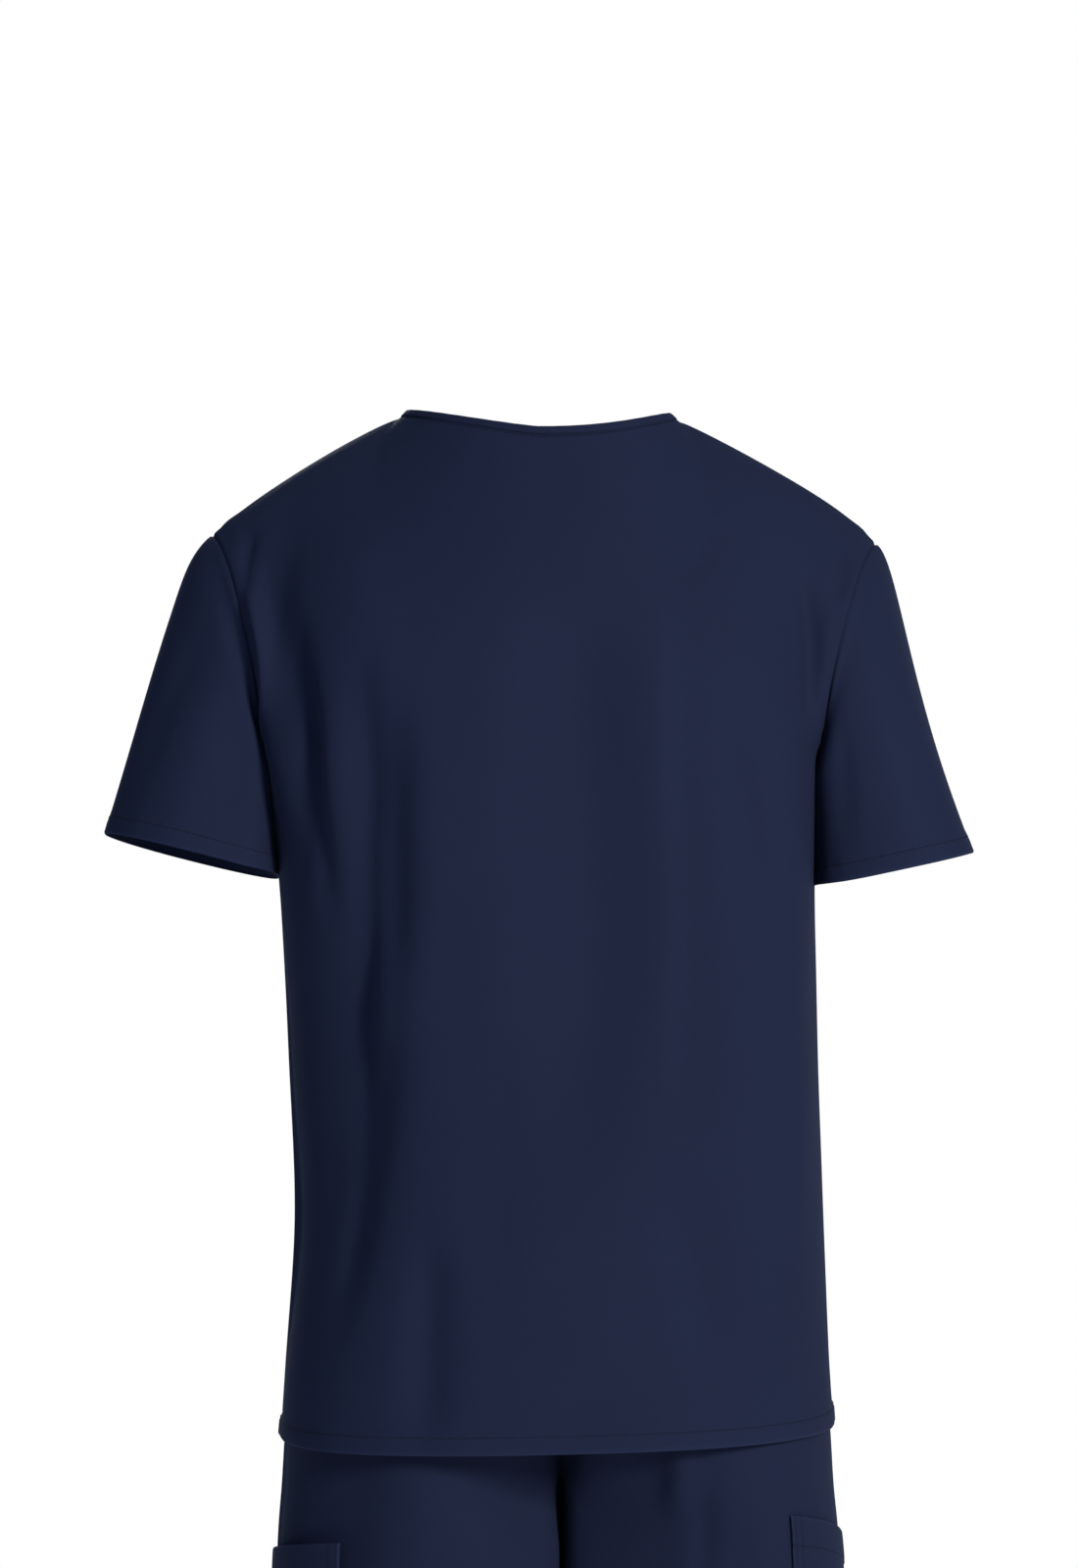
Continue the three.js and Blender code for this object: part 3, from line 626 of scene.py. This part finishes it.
def sew_sleeve(side):
    turn, t, grid = sleeve_sheet(side)
    near = SLEEVE_BY_BODY
    by_body = bell((turn[None, :] - near["turn"]) / near["wide"]) * ease(t[:, None] / near["t"])
    grid[..., 1] += SLEEVE_FORWARD[side] * by_body
    along, up = arcs(grid)
    top = up[-2:-1] - up
    relief = hem_relief(up, along) + unevenness(along, up) * ease(top / 20) * ease(up / 25)
    for (start, above), (end, below), wide, deep in SLEEVE_CREASES[side]:
        place = (t[:, None] - above) / (below - above)
        away = turn[None, :] - mix(start, end, np.clip(place, 0, 1))
        relief -= deep * ease(place / 0.4) * ease((1 - place) / 0.45) * bell(away / wide)
    back_and_front = np.sin(turn * 2 * np.pi)[None, :] ** 2
    relief += seam_roll(top, 0.9, 1.6) * mix(0.3, 1, back_and_front)
    relief -= welt(top, 10, 7, SLEEVE_HOLLOW[side]) * back_and_front
    relief += SLEEVE_LEAN * by_body
    full = SLEEVE_FULL[side]
    outer = ((1 + np.cos(turn * 2 * np.pi)) / 2)[None, :] ** 2
    relief += outer * full["out"] * bell((t[:, None] - full["t"]) / full["long"])
    relief[-1] = SLEEVE_UNDER
    way = 1 if side == "left" else -1
    piece = sew_sheet(f"sleeve_{side}_cloth", grid, relief, way, closed=True, worn=worn_hem(up))
    finish_piece(piece, f"sleeve_{side}", top_cloth)


sew_sleeve("left")
sew_sleeve("right")


# The neck band: a narrow folded strip sewn round the neckline and mitred at the point of the V. It stands a little
# proud of the panels and its free edge is a rounded fold.
NECK_BAND = 7
share = np.linspace(0, 1, 61)
share = np.concatenate([-share[:0:-1], share])
# The first rows lie below the panels' edge, where the band is sewn in under them.
band_rows = np.array([-1.6, -0.7, 0.2, 0.9, 1.5, 1.9, 2.3, 2.8, 3.5, 4.4, 5.3, 6.0, 6.5, 6.85, NECK_BAND])
front_share = np.linspace(1, -1, 141)[1:-1]
grid = np.stack(
    [
        np.concatenate([neck_line("back", share, inset), neck_line("front", front_share, inset)])
        for inset in band_rows
    ]
)
width = (band_rows[:, None] - neck_rise(np.concatenate([share, front_share]))[None, :]) / (NECK_BAND - NECK_RISE)
# The band goes round the shoulders in a curve, so its two corners there are rounded off.
tips = np.zeros(grid.shape[1])
for corner in (0, len(share) - 1):
    apart = np.abs(np.arange(len(tips)) - corner)
    tips = np.maximum(tips, 1 - ease((np.minimum(apart, len(tips) - apart) - 1) / 6))
for _ in range(16):
    even = (np.roll(grid, 1, 1) + 2 * grid + np.roll(grid, -1, 1)) / 4
    grid = mix(grid, even, (tips[None, :] * mix(0.3, 1, ease(width / 0.6)))[..., None])
grid[..., 2] += 0.6 * tips[None, :] * ease(width)
along, up = arcs(grid)
puff = 0.6 * np.sin(np.pi * np.clip(width, 0, 1)) ** 0.6
tucked = 2.2 * (1 - ease((width + 0.1) / 0.22))
fold = 0.5 * bell((1 - width) / 0.07)
relief = HEM_LIFT * 0.5 + puff - tucked - fold
relief = relief + 0.08 * np.sin(along / 2.3 + 1.4 * np.sin(along / 19))
neck_cloth = navy_cloth("neck_band_woven", tuple(0.96 * c for c in TOP_DYE))
neck_band = sew_sheet("neck_band_cloth", grid, relief, -1, closed=True, worn=bell((1 - width) / 0.15))
finish_piece(neck_band, "neck_band", neck_cloth)


# The top's sewing: lockstitch in matching thread along the hem, the sleeve hems and the edge of the neck band. Each
# stitch is a short thread that sinks into the cloth at both ends.
STITCH = {"pitch": 2.6, "long": 1.95, "wide": 0.72, "high": 0.44}
NECK_ROW = 1.7


def line_in(name, distance, edge):
    """The line that runs a distance in from one edge of a sewn sheet: its points and its outward directions."""
    points, normals, along, up = sewn[name]
    if edge in ("low", "high"):
        measure = up if edge == "low" else (up[-1:] - up)[::-1]
        order = slice(None) if edge == "low" else slice(None, None, -1)
        lines = [(measure[:, c], points[order, c], normals[order, c]) for c in range(points.shape[1])]
    else:
        measure = along if edge == "first" else (along[:, -1:] - along)[:, ::-1]
        order = slice(None) if edge == "first" else slice(None, None, -1)
        lines = [(measure[r], points[r, order], normals[r, order]) for r in range(points.shape[0])]

    def read(place, values):
        return [np.interp(distance, place, values[:, k]) for k in range(3)]

    return np.array([read(m, p) for m, p, _ in lines]), np.array([read(m, n) for m, _, n in lines])


def stitch_places(points, normals, closed=False):
    if closed:
        points = np.concatenate([points, points[:1]])
        normals = np.concatenate([normals, normals[:1]])
    far = lengths(points)
    count = int(far[-1] // STITCH["pitch"])
    middle = (np.arange(count) + 0.5) * far[-1] / count

    def read(place, values):
        return np.stack([np.interp(place, far, values[:, k]) for k in range(3)], -1)

    forward = read(middle + 0.8, points) - read(middle - 0.8, points)
    forward /= np.linalg.norm(forward, axis=1, keepdims=True)
    out = read(middle, normals)
    out -= forward * np.sum(out * forward, axis=1, keepdims=True)
    out /= np.linalg.norm(out, axis=1, keepdims=True)
    return read(middle, points), forward, out


def thread_material(name, base_colour):
    """Twisted thread in the colour it is given, with painted shade between its plies, where its bumps are low."""
    made, nodes, links, shader = blank_material(name)
    shader.inputs["Specular IOR Level"].default_value = 0.2
    shader.inputs["Roughness"].default_value = 0.6
    place = nodes.new("ShaderNodeTexCoord")
    ply = nodes.new("ShaderNodeTexNoise")
    ply.inputs["Scale"].default_value = 2600
    ply.inputs["Detail"].default_value = 1
    links.new(place.outputs["Object"], ply.inputs["Vector"])
    # Painted shade: the thread's colour drops to 0.6 of the given one where the ply noise is low, between its plies.
    tone = colour_mix(nodes, [0.6 * c for c in base_colour], [1.3 * c for c in base_colour])
    links.new(ply.outputs["Fac"], tone.inputs[0])
    links.new(tone.outputs[2], shader.inputs["Base Color"])
    bump = nodes.new("ShaderNodeBump")
    bump.inputs["Strength"].default_value = 0.3
    bump.inputs["Distance"].default_value = 0.0001
    links.new(ply.outputs["Fac"], bump.inputs["Height"])
    links.new(bump.outputs["Normal"], shader.inputs["Normal"])
    return made


def sew_lines(name, lines, thread):
    """Rows of stitches, joined as one piece: one thread is modelled and set along each line."""
    bpy.ops.object.select_all(action="DESELECT")
    bpy.ops.mesh.primitive_uv_sphere_add(segments=6, ring_count=5, radius=1)
    piece = bpy.context.object
    one = np.array([v.co[:] for v in piece.data.vertices])
    one = one[:, [2, 0, 1]]
    sides = [list(face.vertices) for face in piece.data.polygons]
    places = [stitch_places(*line) for line in lines]
    middle, forward, out = (np.concatenate(part) for part in zip(*places))
    across = np.cross(out, forward)
    lift = 0.12 - 0.3 * one[:, 0] ** 2
    body = (
        middle[:, None]
        + forward[:, None] * (one[None, :, 0:1] * STITCH["long"] / 2)
        + across[:, None] * (one[None, :, 1:2] * STITCH["wide"] / 2)
        + out[:, None] * (one[None, :, 2:3] * STITCH["high"] / 2 + lift[None, :, None])
    )
    count, each = body.shape[:2]
    faces = [[v + k * each for v in side] for k in range(count) for side in sides]
    mesh = bpy.data.meshes.new(name)
    mesh.from_pydata((body / 1000).reshape(-1, 3).tolist(), [], faces)
    mesh.update()
    spare = piece.data
    piece.data = mesh
    piece.name = name
    bpy.data.meshes.remove(spare)
    bpy.ops.object.mode_set(mode="EDIT")
    bpy.ops.mesh.select_all(action="SELECT")
    bpy.ops.mesh.normals_make_consistent(inside=False)
    bpy.ops.object.mode_set(mode="OBJECT")
    bpy.ops.object.shade_smooth()
    finish_piece(piece, None, thread)


# The thread's colour is the top's navy darkened to 0.16 of it: painted shade for the groove each stitch lies in.
navy_thread_painted_shade = thread_material("navy_thread_painted_shade", tuple(0.16 * c for c in TOP_DYE))
hem_lines = [line_in(name, HEM_ROW, "low") for name in ("top_back_cloth", "top_front_cloth")]
sew_lines("top_hem_stitches", hem_lines, navy_thread_painted_shade)
cuff_lines = [(*line_in(f"sleeve_{side}_cloth", HEM_ROW, "low"), True) for side in ("left", "right")]
sew_lines("sleeve_hem_stitches", cuff_lines, navy_thread_painted_shade)
neck_lines = []
for face, name in (("back", "top_back_cloth"), ("front", "top_front_cloth")):
    points, normals = line_in(name, NECK_ROW, "high")
    inside = np.abs(panel_places(face)) < NECK_SHARE * 0.985
    neck_lines.append((points[inside], normals[inside]))
sew_lines("neck_stitches", neck_lines, navy_thread_painted_shade)


# The trousers: a front and a back piece for each leg, sewn at the side, the inside leg and the middle. They hang
# straight from the hips, with a few long soft folds, and their hems are turned up.
WAIST_TOP = -500
WAIST_SEAM = -538
SEAT = -610
CROTCH = -752
CENTRE = -14
TROUSER_RINGS = [
    {"z": -500, "left": 146, "right": -168, "back": 101, "front": -98, "parting": 0},
    {"z": -538, "left": 150, "right": -172, "back": 107, "front": -102, "parting": 0},
    {"z": -610, "left": 164, "right": -188, "back": 124, "front": -109, "parting": 0},
    {"z": -690, "left": 176.6, "right": -202.4, "back": 124, "front": -109, "parting": 0},
    {"z": -752, "left": 181, "right": -207, "back": 116, "front": -107, "parting": 0.2},
    {"z": -777, "left": 183, "right": -209.5, "back": 112.5, "front": -105, "parting": 0.2},
    {"z": -802, "left": 184, "right": -211, "back": 109, "front": -103, "parting": 0.4},
    {"z": -900, "left": 184, "right": -211, "back": 99, "front": -97, "parting": 4.5},
    {"z": -1060, "left": 176, "right": -204, "back": 86, "front": -86, "parting": 13},
    {"z": -1280, "left": 170, "right": -198, "back": 78, "front": -78, "parting": 22},
    {"z": -1517, "left": 167, "right": -195, "back": 74, "front": -74, "parting": 29},
]
TROUSER_SQUARE = 2.25
LEG_FULL = {"out": 12, "from_inside": 52, "wide": 34, "down_to": -900}
LEGS_PART = -812
# As on the top, but a leg's places run from 0 at its side seam to 1 at its middle or inside seam.
LEG_FOLDS = {
    "left_back": [
        ((0.5, -1000), (0.42, -1420), 0.1, 6),
        ((0.75, -820), (0.62, -1150), 0.09, 5),
    ],
    "right_back": [
        ((0.42, -700), (0.46, -1050), 0.1, 7),
        ((0.6, -1100), (0.55, -1480), 0.1, 5),
    ],
    "left_front": [((0.45, -820), (0.5, -1300), 0.1, 6)],
    "right_front": [((0.55, -860), (0.48, -1350), 0.1, 6)],
}
LEG_CREASES = {
    "left_back": [
        ([(20, -660), (12, -715), (-4, -790)], (46, 14), 12.0),
        ([(136, -650), (138, -780), (132, -930)], (50, 38), 12.0),
        ([(120, -850), (116, -1000), (126, -1190)], (14, 12), 5.0),
        ([(70, -1160), (88, -1330), (92, -1490)], (12, 14), 5.2),
        ([(40, -960), (42, -1100), (52, -1270)], (10, 12), 4.0),
    ],
    "right_back": [
        ([(-29, -672), (-25, -712), (-16, -752)], (5, 6), 4.5),
        ([(-64, -650), (-68, -760), (-70, -940)], (64, 46), 15.0),
        ([(-96, -690), (-95, -724), (-92, -768)], (11, 12), -6.5),
        ([(-112, -730), (-114, -780), (-112, -850)], (9, 10), 3.4),
        ([(-136, -760), (-138, -850), (-130, -980)], (14, 12), 4.0),
        ([(-98, -1000), (-116, -1140), (-118, -1310)], (12, 12), 5.0),
        ([(-82, -1230), (-98, -1360), (-100, -1500)], (12, 11), 5.0),
    ],
    "left_front": [
        ([(20, -690), (44, -750), (74, -830)], (8, 8), 4.2),
        ([(14, -725), (32, -800), (52, -910)], (8, 8), 4.0),
        ([(98, -890), (88, -1040), (90, -1210)], (14, 12), 5.0),
        ([(82, -1140), (98, -1300), (100, -1495)], (12, 13), 5.0),
    ],
    "right_front": [
        ([(-48, -690), (-74, -755), (-102, -840)], (8, 8), 4.2),
        ([(-40, -730), (-60, -800), (-78, -900)], (8, 8), 3.8),
        ([(-128, -870), (-114, -1020), (-112, -1190)], (12, 14), 5.0),
        ([(-104, -1160), (-118, -1320), (-122, -1495)], (13, 12), 4.8),
    ],
}


def trouser_point(leg, face, at, z):
    """A point of a leg's front or back; at runs from 0 at the side seam to 1 at the middle or inside seam."""
    way = 1 if leg == "left" else -1
    fall = np.clip((SEAT - z) / (SEAT - CROTCH), 0, 1)
    end = np.pi / 2 * (1 + fall)
    angle = at * end
    outer = column(TROUSER_RINGS, leg, z)
    inner = CENTRE + way * column(TROUSER_RINGS, "parting", z)
    reach = (outer - inner) / (1 - rounded(np.cos(end), TROUSER_SQUARE))
    x = outer - reach * (1 - rounded(np.cos(angle), TROUSER_SQUARE))
    return stacked(x, column(TROUSER_RINGS, face, z) * rounded(np.sin(angle), TROUSER_SQUARE), z)


def trouser_way(leg, face):
    return 1 if (leg == "left") == (face == "back") else -1


def sew_leg(leg, face, cloth):
    at = (1 - np.cos(np.linspace(0, np.pi, 4001))) / 2
    far = lengths(trouser_point(leg, face, at, np.full(at.shape, -900.0)))
    inner = even_steps(EDGE_STEPS[-1], far[-1] - EDGE_STEPS[-1], 5.6)
    at = np.interp(np.concatenate([EDGE_STEPS[:-1], inner, far[-1] - EDGE_STEPS[-2::-1]]), far, at)
    hem = TROUSER_RINGS[-1]["z"]
    body = even_steps(HEM_STEPS[-1], WAIST_SEAM - hem - EDGE_STEPS[-1], 6.4)
    levels = hem + np.concatenate([HEM_STEPS, body[1:]])
    levels = np.concatenate([levels, WAIST_SEAM - EDGE_STEPS[-2::-1]])
    grid = trouser_point(leg, face, at[None, :], levels[:, None])
    along, up = arcs(grid)
    inside = along[:, -1:] - along
    key = f"{leg}_{face}"
    calm = ease(along / 25) * ease(inside / 25) * ease(up / 25)
    relief = -fold_depth(LEG_FOLDS[key], at[None, :], grid[..., 2])
    facing = ease((1 - np.abs(at[None, :] - 0.5) * 2) / 0.5)
    relief -= crease_depth(LEG_CREASES[key], grid[..., 0], grid[..., 2]) * mix(0.35, 1, facing)
    parted = ease((SEAT - 30 - grid[..., 2]) / 60)
    relief *= mix(1, ease(inside / 18), parted) * ease((along - 2) / 14)
    relief += unevenness(along * 0.9 + 7, up * 0.8) * 1.2 * calm + hem_relief(up, along)
    # Below the seat the two legs lean on each other, so each is full there as far as the middle.
    touching = parted * ease((grid[..., 2] - LEGS_PART) / 14)
    way = 1 if leg == "left" else -1
    room = way * (grid[..., 0] - CENTRE) + 0.3
    aside = np.abs(outward(grid, trouser_way(leg, face), False)[..., 0])
    full = bell((inside - LEG_FULL["from_inside"]) / LEG_FULL["wide"]) * parted
    full = full * ease((grid[..., 2] - LEG_FULL["down_to"]) / 120)
    relief += np.minimum(LEG_FULL["out"] * full, room / np.maximum(aside, 0.05))
    relief += 0.5 * touching * bell(inside / 9)
    relief += seam_roll(along) + seam_roll(inside, 1.4, 2.0) * (1 - parted)
    relief += (welt(along, 5.5, 2.6, 0.45) + welt(inside, 5.5, 2.6, 0.45)) * (1 if face == "back" else 0.3)
    gathers = np.sin(along / 2.9 + 1.6 * np.sin(along / 21)) * np.exp(-((WAIST_SEAM - grid[..., 2]) / 16))
    relief += 0.8 * gathers * ease((WAIST_SEAM - grid[..., 2]) / 2)
    piece = sew_sheet(f"trouser_{face}_{leg}_cloth", grid, relief, trouser_way(leg, face), worn=worn_hem(up))
    finish_piece(piece, f"trouser_{face}_{leg}", cloth)


# The trousers' colour is the top's navy dye made about four percent darker: painted shade for the dimmer light below
# the top's hem.
TROUSER_DYE_AND_SHADE = (0.0118, 0.0168, 0.0425)
trouser_cloth = navy_cloth("trouser_cloth_woven", TROUSER_DYE_AND_SHADE)
for leg in ("left", "right"):
    for face in ("back", "front"):
        sew_leg(leg, face, trouser_cloth)


# The waistband: elastic sewn into a strip of the same cloth, which it draws up into small even gathers between
# three rows of stitching.
WAIST_ROWS = (9.5, 19.0, 28.5)
sweep = np.linspace(0, 1, 91)
parts = [("left", "back", sweep), ("right", "back", sweep[::-1][1:])]
parts += [("right", "front", sweep[1:]), ("left", "front", sweep[::-1][1:-1])]
edge = np.array([0, 0.6, 1.5])
inner = even_steps(WAIST_SEAM + 3, WAIST_TOP - 3, 2.9)
levels = np.concatenate([WAIST_SEAM + edge, inner, WAIST_TOP - edge[::-1]])
grid = np.concatenate([trouser_point(leg, face, at[None, :], levels[:, None]) for leg, face, at in parts], 1)
along, up = arcs(grid)
rise = (levels[:, None] - WAIST_SEAM) / (WAIST_TOP - WAIST_SEAM)
gathers = np.sin(along / 1.9 + 1.5 * np.sin(along / 17)) + 0.5 * np.sin(along / 3.3 + 1.9 * np.sin(along / 29))
between_rows = 0.35 + 0.65 * np.sin(rise * np.pi * 4) ** 2
edges = bell(rise / 0.03) + bell((1 - rise) / 0.02)
relief = HEM_LIFT + 0.55 * gathers * between_rows - 0.8 * edges
# The waistband takes the trousers' colour, its painted shade included.
waist_cloth = navy_cloth("waistband_woven", tuple(0.97 * c for c in TROUSER_DYE_AND_SHADE))
waistband = sew_sheet("waistband_cloth", grid, relief, 1, closed=True, worn=bell((1 - rise) / 0.05))
finish_piece(waistband, "waistband", waist_cloth)


# The cargo pockets: a patch on the side of each leg, with its raw edges turned under, sewn down at the sides and
# the bottom with two rows, and a turned-down band along its mouth.
POCKETS = {
    "left": {"top": -795, "tilt": 0.19, "to_back": 108, "to_front": 86},
    "right": {"top": -784, "tilt": 0.28, "to_back": 94, "to_front": 90},
}
POCKET_HEIGHT = 205
POCKET_BAND = 22
POCKET_BAND_ROW = 20.6
POCKET_ROWS = (2.6, 8.4)
POCKET_CLEAR = 2.0
POCKET_SLACK = 2.5
POCKET_CLOTH = 1.1
# The length round a leg, at the pockets' height, from its side seam to its inside seam.
LEG_HALF = 316


def pocket_point(leg, across, down):
    pocket = POCKETS[leg]
    reach = mix(pocket["to_back"], -pocket["to_front"], across)
    at = np.abs(reach) / LEG_HALF
    low = pocket["top"] - POCKET_HEIGHT * down
    points = []
    for face in ("back", "front"):
        first = trouser_point(leg, face, at, low)
        points.append(trouser_point(leg, face, at, low + pocket["tilt"] * first[..., 1]))
    return np.where((reach >= 0)[..., None], points[0], points[1])


def sew_pocket(leg, cloth):
    pocket = POCKETS[leg]
    wide = pocket["to_back"] + pocket["to_front"]
    inner = even_steps(EDGE_STEPS[-1], wide - EDGE_STEPS[-1], 4.2)
    across = np.concatenate([EDGE_STEPS[:-1], inner, wide - EDGE_STEPS[-2::-1]])
    band = np.array([0, 0.5, 1.2, 2.5, 5, 8, 11, 14, 17, 19.2, 20.2, 21.0, 21.8, 22.6, 23.6, 25.5])
    inner = even_steps(29, POCKET_HEIGHT - EDGE_STEPS[-1], 4.2)
    down = np.concatenate([band, inner, POCKET_HEIGHT - EDGE_STEPS[-2::-1]])
    a, d = np.meshgrid(across / wide, down / POCKET_HEIGHT)
    grid = pocket_point(leg, a, d)
    along, up = arcs(grid)
    side = np.minimum(along, along[:, -1:] - along)
    low = up[-1:] - up
    slack = POCKET_SLACK * np.sin(np.pi * d) * np.sin(np.pi * a)
    relief = POCKET_CLEAR + slack
    relief += HEM_LIFT * (1 - ease((up - POCKET_BAND) / 1.2)) - 0.45 * bell((up - POCKET_BAND_ROW) / 0.8)
    relief -= 1.3 * bell(side / 1.1) + 1.3 * bell(low / 1.1) + 0.6 * bell(up / 0.7)
    for row in POCKET_ROWS:
        relief -= 0.35 * (bell((side - row) / 0.8) + bell((low - row) / 0.8))
    ripple = np.sin(up / 1.7 + 1.5 * np.sin(up / 19)) * bell(side / 9)
    ripple = ripple + np.sin(along / 1.7 + 1.5 * np.sin(along / 19)) * bell(low / 9)
    relief += 0.14 * ripple + unevenness(along + 31, up + 12) * ease(side / 18) * ease(low / 18)
    relief += 0.9 * np.sin(np.pi * a) ** 2 * np.exp(-up / 30) * (1 + 0.5 * np.sin(along / 24 + 0.7))
    worn = bell(side / 1.3) + bell(low / 1.3) + bell(up / 1.3)
    way = 1 if leg == "left" else -1
    piece = sew_sheet(f"pocket_{leg}_cloth", grid, relief, way, thick=POCKET_CLOTH, worn=np.clip(worn, 0, 1))
    finish_piece(piece, f"pocket_{leg}", cloth)


# The pockets take the trousers' colour, its painted shade included.
pocket_cloth = navy_cloth("pocket_cloth_woven", TROUSER_DYE_AND_SHADE)
for leg in ("left", "right"):
    sew_pocket(leg, pocket_cloth)


# The trousers' sewing: the leg hems, the rows through the waistband, and the rows round each pocket and along its
# band, all in the same thread as the top's.
leg_names = [f"trouser_{face}_{leg}_cloth" for leg in ("left", "right") for face in ("back", "front")]
leg_lines = [line_in(name, HEM_ROW, "low") for name in leg_names]
sew_lines("trouser_hem_stitches", leg_lines, navy_thread_painted_shade)
waist_lines = [(*line_in("waistband_cloth", row, "low"), True) for row in WAIST_ROWS]
sew_lines("waistband_stitches", waist_lines, navy_thread_painted_shade)
pocket_lines = []
for leg in ("left", "right"):
    name = f"pocket_{leg}_cloth"
    pocket_lines.append(line_in(name, POCKET_BAND_ROW, "low"))
    for row in POCKET_ROWS:
        pocket_lines += [line_in(name, row, edge) for edge in ("high", "first", "last")]
sew_lines("pocket_stitches", pocket_lines, navy_thread_painted_shade)


# The studio: a pale painted floor under the set, a white surround whose own light is faint and bluish, a broad soft
# light high on the camera's right, and two on the far side, a strong and a weak one, for views from the front.
FLOOR_Z = -1.56


def pale_floor():
    bpy.ops.object.select_all(action="DESELECT")
    bpy.ops.mesh.primitive_circle_add(vertices=96, radius=4, fill_type="NGON", location=(0, 0, FLOOR_Z))
    floor = bpy.context.object
    floor.name = "studio_floor"
    bpy.ops.object.transform_apply(location=True, rotation=True, scale=True)
    paint, nodes, links, shader = blank_material("studio_floor_paint")
    shader.inputs["Roughness"].default_value = 0.9
    place = nodes.new("ShaderNodeTexCoord")
    cloud = nodes.new("ShaderNodeTexNoise")
    cloud.inputs["Scale"].default_value = 3
    links.new(place.outputs["Object"], cloud.inputs["Vector"])
    tone = colour_mix(nodes, (0.8, 0.8, 0.81), (0.84, 0.84, 0.845))
    links.new(cloud.outputs["Fac"], tone.inputs[0])
    links.new(tone.outputs[2], shader.inputs["Base Color"])
    floor.data.materials.append(paint)


pale_floor()


def soft_light(name, place, aim, size, power):
    lamp = bpy.data.lights.new(name, "AREA")
    lamp.shape = "DISK"
    lamp.size = size
    lamp.energy = power
    holder = bpy.data.objects.new(name, lamp)
    bpy.context.scene.collection.objects.link(holder)
    holder.location = place
    way = np.array(aim, float) - np.array(place, float)
    flat = math.hypot(way[0], way[1])
    holder.rotation_euler = (math.atan2(flat, -way[2]), 0, math.atan2(way[1], way[0]) - math.pi / 2)


soft_light("key_light", (-3.2, 5.2, 1.6), (0, 0, -0.45), 1.5, 310)
soft_light("front_key_light", (0.5, -4.6, 1.2), (0, 0, -0.6), 1.5, 120)
soft_light("front_fill_light", (-1.2, -3.6, 0.2), (0, 0, -0.8), 2.0, 10)

scene = bpy.context.scene
world = bpy.data.worlds.new("white_surround")
world.use_nodes = True
scene.world = world
nodes = world.node_tree.nodes
nodes.clear()
links = world.node_tree.links
seen = nodes.new("ShaderNodeBackground")
seen.inputs["Color"].default_value = (1, 1, 1, 1)
seen.inputs["Strength"].default_value = 1.0
lit = nodes.new("ShaderNodeBackground")
lit.inputs["Color"].default_value = (0.5, 0.66, 1, 1)
lit.inputs["Strength"].default_value = 0.3
path = nodes.new("ShaderNodeLightPath")
choice = nodes.new("ShaderNodeMixShader")
out = nodes.new("ShaderNodeOutputWorld")
links.new(path.outputs["Is Camera Ray"], choice.inputs[0])
links.new(lit.outputs[0], choice.inputs[1])
links.new(seen.outputs[0], choice.inputs[2])
links.new(choice.outputs[0], out.inputs["Surface"])
scene.view_settings.view_transform = "Standard"

# The camera stands level behind the set, at the height of the lower half of the sleeves.
PICTURE_HEIGHT = 1.104
CAMERA_FAR = 3.6
lens = bpy.data.cameras.new("photo_camera")
camera = bpy.data.objects.new("photo_camera", lens)
scene.collection.objects.link(camera)
camera.location = (0, CAMERA_FAR, -0.257)
camera.rotation_euler = (math.pi / 2, 0, math.pi)
lens.sensor_fit = "VERTICAL"
lens.sensor_height = 24
lens.lens = lens.sensor_height * CAMERA_FAR / PICTURE_HEIGHT
lens.clip_end = 60
scene.camera = camera
